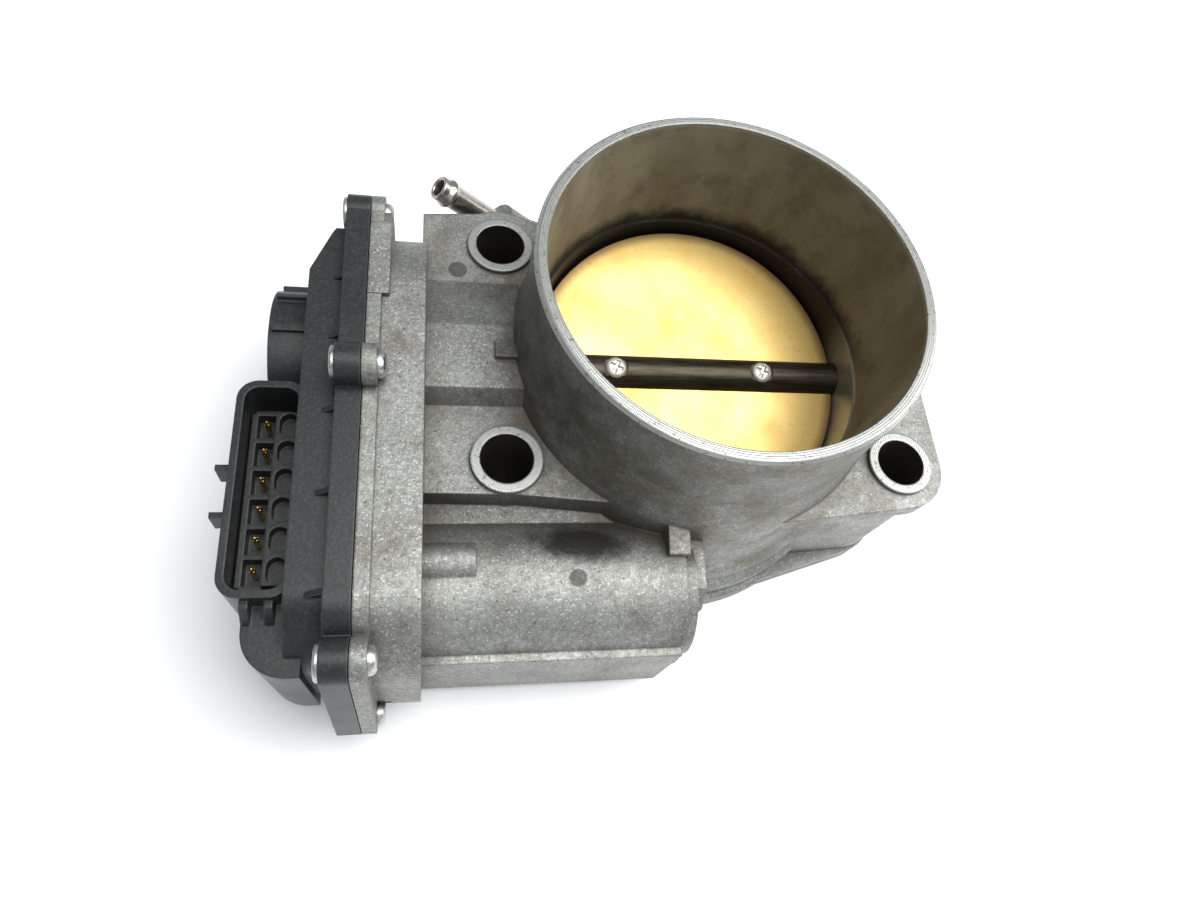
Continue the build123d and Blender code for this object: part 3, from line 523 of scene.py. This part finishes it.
    # shine: turned faces are smooth; soot, and the corners' soiling with its painted shade, are dull
    dull = add(tree, "ShaderNodeMath", None, {0: film_amount, 1: corner_shade_and_dirt}, operation="MAXIMUM")
    metallic = add(tree, "ShaderNodeMapRange", {"To Min": 0.78, "To Max": 0.25}, {"Value": dull})
    tree.links.new(metallic, shader.inputs["Metallic"])
    skin_rough = add(
        tree,
        "ShaderNodeMapRange",
        {"From Min": 0.3, "From Max": 0.7, "To Min": 0.62, "To Max": 0.46},
        {"Value": grain},
    )
    seat_rough = add(
        tree, "ShaderNodeMapRange", {"To Min": 0.0, "To Max": -0.2}, {"Value": machined}
    )
    rough_a = add(tree, "ShaderNodeMath", None, {0: skin_rough, 1: seat_rough}, operation="ADD")
    dull_rough = add(tree, "ShaderNodeMath", {1: 0.16}, {0: film_amount}, operation="MULTIPLY")
    rough = add(tree, "ShaderNodeMath", None, {0: rough_a, 1: dull_rough}, operation="ADD")
    tree.links.new(rough, shader.inputs["Roughness"])

    # relief: rounded edges, the blasted skin, faint turning rings
    rounded = add(tree, "ShaderNodeBevel", {"Radius": 0.7 * MM}, samples=6)
    ripple = add(tree, "ShaderNodeMath", {1: 0.12}, {0: ring_wave}, operation="MULTIPLY")
    as_cast = add(tree, "ShaderNodeMath", {0: 1.0}, {1: machined}, operation="SUBTRACT")
    skin_height = add(tree, "ShaderNodeMath", None, {0: grain, 1: as_cast}, operation="MULTIPLY")
    ring_height = add(tree, "ShaderNodeMath", None, {0: ripple, 1: machined}, operation="MULTIPLY")
    relief = add(tree, "ShaderNodeMath", None, {0: skin_height, 1: ring_height}, operation="ADD")
    pitted_and_dimpled = add(tree, "ShaderNodeMath", None, {0: pit_mask, 1: dimple}, operation="ADD")
    sunk = add(tree, "ShaderNodeMath", {1: -0.5}, {0: pitted_and_dimpled}, operation="MULTIPLY")
    sunk_cast = add(tree, "ShaderNodeMath", None, {0: sunk, 1: as_cast}, operation="MULTIPLY")
    whole = add(tree, "ShaderNodeMath", None, {0: relief, 1: sunk_cast}, operation="ADD")
    normal = add(
        tree,
        "ShaderNodeBump",
        {"Strength": 0.6, "Distance": 0.25 * MM},
        {"Height": whole, "Normal": rounded},
    )
    tree.links.new(normal, shader.inputs["Normal"])
    return material


def filled_nylon(look):
    """Glass-filled nylon, moulded black.

    The eye sees charcoal with a fine spark grain, pale dust on what faces up, and edges lightened, partly as
    wear and partly as a painted sheen."""
    material, tree, shader = start("moulded_glass_filled_nylon", Specular_IOR_Level=0.35)
    place = add(tree, "ShaderNodeTexCoord", output="Object")
    cloud = add(tree, "ShaderNodeTexNoise", {"Scale": per_mm(18), "Detail": 4.0}, {"Vector": place})
    grain = add(
        tree, "ShaderNodeTexNoise", {"Scale": per_mm(0.7), "Detail": 4.0, "Roughness": 0.6}, {"Vector": place}
    )
    base = add(
        tree,
        "ShaderNodeMix",
        {"A": list(look.plastic) + [1.0], "B": linear("#242526")},
        {"Factor": cloud},
        data_type="RGBA",
    )
    facing = add(tree, "ShaderNodeNewGeometry", output="Normal")
    up = add(tree, "ShaderNodeSeparateXYZ", links={"Vector": facing}, output="Z")
    upward = add(tree, "ShaderNodeMapRange", {"From Min": 0.2, "From Max": 1.0}, {"Value": up})
    dust_grain = add(
        tree, "ShaderNodeMapRange", {"From Min": 0.45, "From Max": 0.7, "To Max": 0.1}, {"Value": grain}
    )
    dust = add(tree, "ShaderNodeMath", None, {0: upward, 1: dust_grain}, operation="MULTIPLY")
    dusty = add(
        tree,
        "ShaderNodeMix",
        {"B": linear("#7c7a74")},
        {"Factor": dust, "A": base},
        data_type="RGBA",
    )
    # edges lightened to a grey: partly wear, partly a painted sheen
    rounded = add(tree, "ShaderNodeBevel", {"Radius": 0.5 * MM}, samples=6)
    alike = add(tree, "ShaderNodeVectorMath", None, {0: rounded, 1: facing}, operation="DOT_PRODUCT")
    edge = add(
        tree,
        "ShaderNodeMapRange",
        {"From Min": 0.99, "From Max": 0.85, "To Max": 0.3},
        {"Value": alike},
    )
    edge_wear_and_sheen = add(
        tree,
        "ShaderNodeMix",
        {"B": linear("#6b6b69")},
        {"Factor": edge, "A": dusty},
        data_type="RGBA",
    )
    tree.links.new(edge_wear_and_sheen, shader.inputs["Base Color"])
    rough = add(
        tree,
        "ShaderNodeMapRange",
        {"From Min": 0.3, "From Max": 0.7, "To Min": 0.32, "To Max": 0.44},
        {"Value": cloud},
    )
    tree.links.new(rough, shader.inputs["Roughness"])
    normal = add(
        tree,
        "ShaderNodeBump",
        {"Strength": 0.35, "Distance": 0.1 * MM},
        {"Height": grain, "Normal": rounded},
    )
    tree.links.new(normal, shader.inputs["Normal"])
    return material


def varnished_brass(look):
    """Rolled brass under a thin yellow varnish.

    The eye sees pale gold, faintly mottled and spotted, going brown towards the rim."""
    material, tree, shader = start("varnished_brass_sheet", Metallic=0.8)
    place = add(tree, "ShaderNodeTexCoord", output="Object")
    from_centre = add(
        tree, "ShaderNodeVectorMath", {1: (0, 0, SHAFT_Z * MM)}, {0: place}, operation="DISTANCE"
    )
    mottle = add(
        tree, "ShaderNodeTexNoise", {"Scale": per_mm(11), "Detail": 5.0, "Roughness": 0.55}, {"Vector": place}
    )
    speckle = add(tree, "ShaderNodeTexNoise", {"Scale": per_mm(0.9), "Detail": 3.0}, {"Vector": place})
    tone = add(tree, "ShaderNodeMapRange", {"From Min": 0.3, "From Max": 0.7}, {"Value": mottle})
    gold = add(
        tree,
        "ShaderNodeMix",
        {"A": list(look.plate) + [1.0], "B": linear("#bf9f5c")},
        {"Factor": tone},
        data_type="RGBA",
    )
    spots = add(
        tree, "ShaderNodeMapRange", {"From Min": 0.62, "From Max": 0.7, "To Max": 0.6}, {"Value": speckle}
    )
    spotted = add(
        tree,
        "ShaderNodeMix",
        {"B": linear("#a58f58")},
        {"Factor": spots, "A": gold},
        data_type="RGBA",
    )
    waver = add(tree, "ShaderNodeMath", {1: 1.6 * MM}, {0: mottle}, operation="MULTIPLY")
    reach = add(tree, "ShaderNodeMath", None, {0: from_centre, 1: waver}, operation="ADD")
    rim_mask = add(
        tree,
        "ShaderNodeMapRange",
        {"From Min": 37.8 * MM, "From Max": 41.2 * MM, "To Max": 0.9},
        {"Value": reach},
        interpolation_type="SMOOTHSTEP",
    )
    rimmed = add(
        tree,
        "ShaderNodeMix",
        {"B": linear("#6a5138")},
        {"Factor": rim_mask, "A": spotted},
        data_type="RGBA",
    )
    tree.links.new(rimmed, shader.inputs["Base Color"])
    rough = add(
        tree,
        "ShaderNodeMapRange",
        {"From Min": 0.3, "From Max": 0.7, "To Min": 0.34, "To Max": 0.46},
        {"Value": mottle},
    )
    tree.links.new(rough, shader.inputs["Roughness"])
    normal = add(
        tree,
        "ShaderNodeBump",
        {"Strength": 0.12, "Distance": 0.05 * MM},
        {"Height": speckle},
    )
    tree.links.new(normal, shader.inputs["Normal"])
    return material


def worked(name, dark, light, grain_mm, stretch, rough, metallic=1.0, relief=0.15):
    """A worked or moulded surface: two close tones in a grain of this many millimetres, drawn out
    along an axis by stretch, which also gives the relief and the shine. The eye sees a bright or
    dull even skin, darker where it is stained."""
    material, tree, shader = start(name, Metallic=metallic)
    place = add(tree, "ShaderNodeTexCoord", output="Object")
    drawn = add(tree, "ShaderNodeMapping", {"Scale": stretch}, {"Vector": place})
    grain = add(
        tree,
        "ShaderNodeTexNoise",
        {"Scale": per_mm(grain_mm), "Detail": 5.0, "Roughness": 0.6},
        {"Vector": drawn},
    )
    stain = add(tree, "ShaderNodeTexNoise", {"Scale": per_mm(6), "Detail": 3.0}, {"Vector": place})
    tone = add(tree, "ShaderNodeMapRange", {"From Min": 0.32, "From Max": 0.68}, {"Value": grain})
    body = add(
        tree,
        "ShaderNodeMix",
        {"A": linear(dark), "B": linear(light)},
        {"Factor": tone},
        data_type="RGBA",
    )
    stain_mask = add(
        tree, "ShaderNodeMapRange", {"From Min": 0.5, "From Max": 0.75, "To Max": 0.45}, {"Value": stain}
    )
    stained = add(
        tree,
        "ShaderNodeMix",
        {"B": linear(dark)},
        {"Factor": stain_mask, "A": body},
        data_type="RGBA",
    )
    tree.links.new(stained, shader.inputs["Base Color"])
    shine = add(
        tree,
        "ShaderNodeMapRange",
        {"From Min": 0.3, "From Max": 0.7, "To Min": rough - 0.07, "To Max": rough + 0.07},
        {"Value": grain},
    )
    tree.links.new(shine, shader.inputs["Roughness"])
    rounded = add(tree, "ShaderNodeBevel", {"Radius": 0.2 * MM}, samples=4)
    normal = add(
        tree,
        "ShaderNodeBump",
        {"Strength": relief, "Distance": 0.1 * MM},
        {"Height": grain, "Normal": rounded},
    )
    tree.links.new(normal, shader.inputs["Normal"])
    return material


def dress(names, material):
    """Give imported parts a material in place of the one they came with."""
    for name in names:
        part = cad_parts[name]
        part.data.materials.clear()
        part.data.materials.append(material)


# ---- settings -------------------------------------------------------------------------------


class ThrottleSurfaces(bpy.types.PropertyGroup):
    """Colours and grain of the finishes"""

    grain: FloatProperty(
        name="Cast grain",
        description="Width of the grain on the cast skin",
        default=1.0 * MM,
        min=0.2 * MM,
        max=4 * MM,
        subtype="DISTANCE",
        unit="LENGTH",
    )
    film: FloatVectorProperty(
        name="Inlet film",
        description="Colour of the film that air and oil leave inside the inlet",
        default=linear("#6f664e")[:3],
        min=0,
        max=1,
        subtype="COLOR",
    )
    plastic: FloatVectorProperty(
        name="Cover",
        description="Colour of the moulded gear cover",
        default=linear("#1b1c1d")[:3],
        min=0,
        max=1,
        subtype="COLOR",
    )
    plate: FloatVectorProperty(
        name="Plate",
        description="Colour of the throttle plate",
        default=linear("#cdb472")[:3],
        min=0,
        max=1,
        subtype="COLOR",
    )


class ThrottleSizes(bpy.types.PropertyGroup):
    """Sizes of the pieces made here"""

    screw_head: FloatProperty(
        name="Screw head",
        description="Radius of the plate screws' heads",
        default=2.7 * MM,
        subtype="DISTANCE",
        unit="LENGTH",
    )
    plate_tilt: FloatProperty(
        name="Plate tilt",
        description="How far the plate at rest stands from square to the bore",
        default=math.radians(10),
        subtype="ANGLE",
        unit="ROTATION",
    )


class ThrottleStudio(bpy.types.PropertyGroup):
    """Floor, lights and camera"""

    lens: FloatProperty(
        name="Lens", description="Focal length for a 36 mm wide sensor, in millimetres", default=24.609
    )
    floor: FloatVectorProperty(
        name="Floor",
        description="Colour of the floor",
        default=(0.93, 0.93, 0.93),
        min=0,
        max=1,
        subtype="COLOR",
    )
    key: FloatProperty(
        name="Key light", description="Power of the overhead softbox", default=7.6, unit="POWER"
    )
    fill: FloatProperty(
        name="Fill light", description="Power of the side softbox", default=2.4, unit="POWER"
    )


# ---- operators ------------------------------------------------------------------------------


class THROTTLE_OT_casting(bpy.types.Operator):
    """Finish the cast housing"""

    bl_idname = "throttle.casting"
    bl_label = "Casting"

    def execute(self, context):
        dress(["throttle_body_casting"], cast_aluminium(context.scene.throttle_surfaces))
        return {"FINISHED"}


class THROTTLE_OT_cover(bpy.types.Operator):
    """Finish the gear cover, its gasket, and the moulded pieces of the motor and sensor"""

    bl_idname = "throttle.cover"
    bl_label = "Cover"

    def execute(self, context):
        nylon = filled_nylon(context.scene.throttle_surfaces)
        dress(["gear_cover", "brush_holder", "hall_sensor"], nylon)
        rubber = worked("silicone_rubber", "#1d1d1c", "#2b2b29", 0.8, (1, 1, 1), 0.7, 0.0)
        dress(["cover_gasket", "near_shaft_seal", "far_shaft_seal"], rubber)
        return {"FINISHED"}


class THROTTLE_OT_fixings(bpy.types.Operator):
    """Finish the cover's rivets, the stop screw and the plug"""

    bl_idname = "throttle.fixings"
    bl_label = "Rivets and plug"

    def execute(self, context):
        zinc = worked("zinc_plated_steel", "#8b8c8a", "#cfd0cd", 0.9, (1, 1, 1), 0.34)
        dress(["cover_rivets", "closed_stop_screw", "shaft_end_plug", "motor_screws"], zinc)
        return {"FINISHED"}


class THROTTLE_OT_terminals(bpy.types.Operator):
    """Finish the connector's pins and the motor's supply blades"""

    bl_idname = "throttle.terminals"
    bl_label = "Terminals"

    def execute(self, context):
        gold = worked("gold_plated_brass", "#c79a3c", "#f0cf74", 0.5, (1, 1, 0.2), 0.26)
        dress(["connector_terminals"], gold)
        tin = worked("tinned_brass", "#a9a595", "#d2cfc2", 0.5, (1, 1, 1), 0.35)
        dress(["motor_supply_blades"], tin)
        return {"FINISHED"}


class THROTTLE_OT_plate(bpy.types.Operator):
    """Finish the throttle plate and shaft"""

    bl_idname = "throttle.plate"
    bl_label = "Plate and shaft"

    def execute(self, context):
        dress(["throttle_plate"], varnished_brass(context.scene.throttle_surfaces))
        oxide = worked("black_oxide_steel", "#2a241b", "#4c463b", 0.7, (0.08, 1, 1), 0.42, 0.8)
        dress(["throttle_shaft"], oxide)
        return {"FINISHED"}


class THROTTLE_OT_plate_screws(bpy.types.Operator):
    """Make the plate's screws with domed heads and cross recesses"""

    bl_idname = "throttle.plate_screws"
    bl_label = "Plate screws"

    def execute(self, context):
        sizes = context.scene.throttle_sizes
        low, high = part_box("plate_screws")
        zinc = worked("bright_zinc", "#b4b2a8", "#cbc9bf", 0.8, (1, 1, 1), 0.42, 0.6, 0.03)
        tilt = sizes.plate_tilt
        seat_height = 4 * MM  # the flat on the shaft under each head
        up = np.array([0.0, -math.sin(tilt), math.cos(tilt)])
        centre = np.array([0.0, 0.0, SHAFT_Z * MM])
        for side, x in (("left", low.x + sizes.screw_head), ("right", high.x - sizes.screw_head)):
            seat = centre + seat_height * up
            seat[0] = x
            piece = screw_head(f"plate_screw_{side}", seat, up, sizes.screw_head)
            piece.data.materials.append(zinc)
            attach(piece, "throttle")
            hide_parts("plate_screws")
        return {"FINISHED"}


def screw_head(name, seat, up, radius):
    """A screw along an axis: height over (rho, t) is a dome 1.1 mm high whose edge rolls down as
    the root of 1 - (rho / radius)^3.4, less a cross recess that deepens to the middle; below the
    seat a plain shank. point = seat + height * up + rho * (cos t * first + sin t * second)."""
    along, first, second = axes_about(up)
    t = np.linspace(0, 2 * np.pi, 180, endpoint=False)[:, None]
    flat_rho = np.linspace(0, 0.8, 48)
    edge_rho = np.sin(np.linspace(math.asin(0.82), np.pi / 2, 14))
    rho = radius * np.concatenate([flat_rho, edge_rho])[None, :] + 0 * t
    dome = 1.1 * MM * np.sqrt(np.clip(1 - (rho / radius) ** 3.4, 0, 1))
    arm_half, arm_reach, recess_depth = 0.45 * MM, 1.8 * MM, 1.0 * MM
    turn = t + math.radians(25)
    off_arm = np.minimum(np.abs(rho * np.cos(turn)), np.abs(rho * np.sin(turn)))
    wall = 1 / (1 + np.exp((off_arm - arm_half) / (0.03 * MM)))
    end = 1 / (1 + np.exp((rho - arm_reach) / (0.05 * MM)))
    height = dome - recess_depth * wall * end * np.clip(1 - 0.35 * rho / arm_reach, 0, 1)
    shank_r, shank_end, chamfer = 1.5 * MM, 8.0 * MM, 0.2 * MM
    shank_rho = np.array([[shank_r, shank_r, shank_r - 1.5 * chamfer, 0.0]]) + 0 * t
    shank_height = -np.array([[0.0, shank_end, shank_end + chamfer, shank_end + chamfer]]) + 0 * t
    rho_all = np.concatenate([rho, shank_rho], 1)[..., None]
    height_all = np.concatenate([height, shank_height], 1)[..., None]
    grid = np.asarray(seat) + height_all * along
    grid = grid + rho_all * (np.cos(t)[..., None] * first + np.sin(t)[..., None] * second)
    return skin(name, grid)


class THROTTLE_OT_bearings(bpy.types.Operator):
    """Finish the shaft's ball bearing and bush"""

    bl_idname = "throttle.bearings"
    bl_label = "Bearings"

    def execute(self, context):
        steel = worked("ground_bearing_steel", "#a3a4a4", "#d6d7d6", 0.4, (1, 1, 1), 0.2)
        dress(["bearing_inner_ring", "bearing_outer_ring", "bearing_balls", "far_shaft_bush"], steel)
        bronze = worked("sintered_bronze", "#8a6734", "#b88d4d", 0.5, (1, 1, 1), 0.45)
        dress(["bearing_cage", "motor_front_bush", "motor_rear_bush"], bronze)
        return {"FINISHED"}


class THROTTLE_OT_gears(bpy.types.Operator):
    """Finish the gear train, its sensor ring and its return spring"""

    bl_idname = "throttle.gears"
    bl_label = "Gears"

    def execute(self, context):
        acetal = worked("moulded_acetal", "#c9c3ae", "#e3dfcf", 2.0, (1, 1, 1), 0.5, 0.0, 0.08)
        dress(["sector_gear", "intermediate_gear"], acetal)
        brass = worked("hobbed_brass", "#a87e35", "#dcb569", 0.3, (0.1, 1, 1), 0.28)
        dress(["motor_pinion"], brass)
        steel = worked("ground_pin_steel", "#9a9b9b", "#cfd0d0", 0.4, (0.1, 1, 1), 0.24)
        dress(["intermediate_gear_pin", "gear_insert_plate", "sensor_yoke_ring", "motor_shaft"], steel)
        wire = worked("drawn_spring_wire", "#5c5b58", "#8e8d88", 0.4, (1, 1, 1), 0.36)
        dress(["return_spring", "motor_spring_washer"], wire)
        ferrite = worked("pressed_ferrite", "#26262a", "#3b3b40", 0.6, (1, 1, 1), 0.62, 0.3)
        dress(["sensor_magnets", "motor_magnets", "motor_brushes"], ferrite)
        return {"FINISHED"}


class THROTTLE_OT_motor(bpy.types.Operator):
    """Finish the motor"""

    bl_idname = "throttle.motor"
    bl_label = "Motor"

    def execute(self, context):
        can = worked("drawn_zinc_plated_can", "#8f908e", "#c2c3c0", 0.8, (0.1, 1, 1), 0.35)
        dress(["motor_can", "motor_end_bracket"], can)
        stack = worked("stacked_laminations", "#54555a", "#85878b", 0.5, (1, 0.05, 0.05), 0.42)
        dress(["armature_core"], stack)
        copper = worked("enamelled_copper", "#8a4a22", "#c9793c", 0.5, (1, 1, 1), 0.3)
        dress(["armature_windings", "commutator"], copper)
        return {"FINISHED"}


class THROTTLE_OT_nipple(bpy.types.Operator):
    """Make the hose nipple as one turned tube with a bead near its mouth"""

    bl_idname = "throttle.nipple"
    bl_label = "Hose nipple"

    def execute(self, context):
        root = np.array([-47.8, 44.0, 34.3]) * MM
        tip = np.array([-63.5, 44.0, 47.0]) * MM
        length = np.linalg.norm(tip - root) / MM
        pressed, bore_r, tube_r, bead_rise, lip_r = -8.8, 2.1, 3.1, 0.6, 0.5
        share = np.linspace(0, 1, 25)
        bead_at = length - 4.6 + 2.8 * share
        bead = tube_r + bead_rise * np.sin(np.pi * share) ** 1.3
        lip = np.linspace(0, np.pi, 9)
        lip_at = length - lip_r + lip_r * np.sin(lip)
        lip_radii = bore_r + lip_r + lip_r * np.cos(lip)
        heights = np.concatenate([[pressed, pressed], bead_at, lip_at, [pressed]])
        radii = np.concatenate([[bore_r, tube_r - 0.02], bead, lip_radii, [bore_r]])
        piece = turned("hose_nipple_tube", np.stack([heights, radii], 1) * MM, root, tip - root)
        material = worked("yellow_passivated_zinc", "#a29f95", "#bdbab0", 3.0, (1, 1, 1), 0.3, 1.0, 0.05)
        piece.data.materials.append(material)
        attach(piece, "housing")
        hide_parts("hose_nipple")
        return {"FINISHED"}


class THROTTLE_OT_stage(bpy.types.Operator):
    """Lay the floor, hang the lights and set up the camera"""

    bl_idname = "throttle.stage"
    bl_label = "Studio"

    def execute(self, context):
        studio = context.scene.throttle_studio
        floor_mesh = bpy.data.meshes.new("floor")
        s, z = 3.0, -0.4 * MM
        floor_mesh.from_pydata([(-s, -s, z), (s, -s, z), (s, s, z), (-s, s, z)], [], [(0, 1, 2, 3)])
        floor = bpy.data.objects.new("floor", floor_mesh)
        context.scene.collection.objects.link(floor)
        material, tree, shader = start("painted_floor", Roughness=0.9)
        place = add(tree, "ShaderNodeTexCoord", output="Object")
        patch = add(tree, "ShaderNodeTexNoise", {"Scale": per_mm(300)}, {"Vector": place})
        tone = add(
            tree,
            "ShaderNodeMix",
            {"A": list(studio.floor) + [1.0], "B": [0.98 * c for c in studio.floor] + [1.0]},
            {"Factor": patch},
            data_type="RGBA",
        )
        tree.links.new(tone, shader.inputs["Base Color"])
        floor.data.materials.append(material)

        world = bpy.data.worlds.new("studio")
        context.scene.world = world
        world.use_nodes = True
        backdrop = world.node_tree.nodes["Background"]
        backdrop.inputs["Color"].default_value = (0.9, 0.93, 1.0, 1)
        backdrop.inputs["Strength"].default_value = 0.46
        context.scene.view_settings.view_transform = "Standard"

        aim = Vector((-0.02, -0.01, 0.035))
        for name, spot, size, power in (
            ("softbox_over", (0.14, -0.02, 0.75), 0.60, studio.key),
            ("softbox_side", (0.55, 0.00, 0.32), 0.40, studio.fill),
            ("softbox_front", (0.05, -0.60, 0.30), 0.40, 0.1 * studio.fill),
        ):
            lamp = bpy.data.lights.new(name, "AREA")
            lamp.size = size
            lamp.energy = power
            holder = bpy.data.objects.new(name, lamp)
            holder.location = spot
            holder.rotation_euler = (aim - Vector(spot)).to_track_quat("-Z", "Y").to_euler()
            context.scene.collection.objects.link(holder)

        lens = bpy.data.cameras.new("camera")
        lens.sensor_width = 36
        lens.lens = studio.lens
        lens.clip_start = 0.01
        camera = bpy.data.objects.new("camera", lens)
        camera.location = (-0.06503, -0.10384, 0.20973)
        camera.rotation_euler = [math.radians(a) for a in (25.289, -11.004, -4.370)]
        context.scene.collection.objects.link(camera)
        context.scene.camera = camera
        return {"FINISHED"}


PIECES = (
    THROTTLE_OT_stage,
    THROTTLE_OT_casting,
    THROTTLE_OT_cover,
    THROTTLE_OT_fixings,
    THROTTLE_OT_terminals,
    THROTTLE_OT_plate,
    THROTTLE_OT_plate_screws,
    THROTTLE_OT_bearings,
    THROTTLE_OT_gears,
    THROTTLE_OT_motor,
    THROTTLE_OT_nipple,
)


class THROTTLE_PT_panel(bpy.types.Panel):
    """The throttle body's settings and its pieces"""

    bl_label = "Throttle body"
    bl_idname = "THROTTLE_PT_panel"
    bl_space_type = "VIEW_3D"
    bl_region_type = "UI"
    bl_category = "Throttle body"

    def draw(self, context):
        for group in ("throttle_surfaces", "throttle_sizes", "throttle_studio"):
            settings = getattr(context.scene, group)
            for name in settings.bl_rna.properties.keys():
                if name not in ("rna_type", "name"):
                    self.layout.prop(settings, name)
        for piece in PIECES:
            self.layout.operator(piece.bl_idname)


GROUPS = (
    (ThrottleSurfaces, "throttle_surfaces"),
    (ThrottleSizes, "throttle_sizes"),
    (ThrottleStudio, "throttle_studio"),
)


def register():
    for group, name in GROUPS:
        bpy.utils.register_class(group)
        setattr(bpy.types.Scene, name, PointerProperty(type=group))
    for kind in PIECES + (THROTTLE_PT_panel,):
        bpy.utils.register_class(kind)


def unregister():
    for kind in reversed(PIECES + (THROTTLE_PT_panel,)):
        bpy.utils.unregister_class(kind)
    for group, name in reversed(GROUPS):
        delattr(bpy.types.Scene, name)
        bpy.utils.unregister_class(group)


def main():
    """Register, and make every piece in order."""
    register()
    for piece in PIECES:
        group, call = piece.bl_idname.split(".")
        getattr(getattr(bpy.ops, group), call)()


if __name__ == "__main__":
    main()
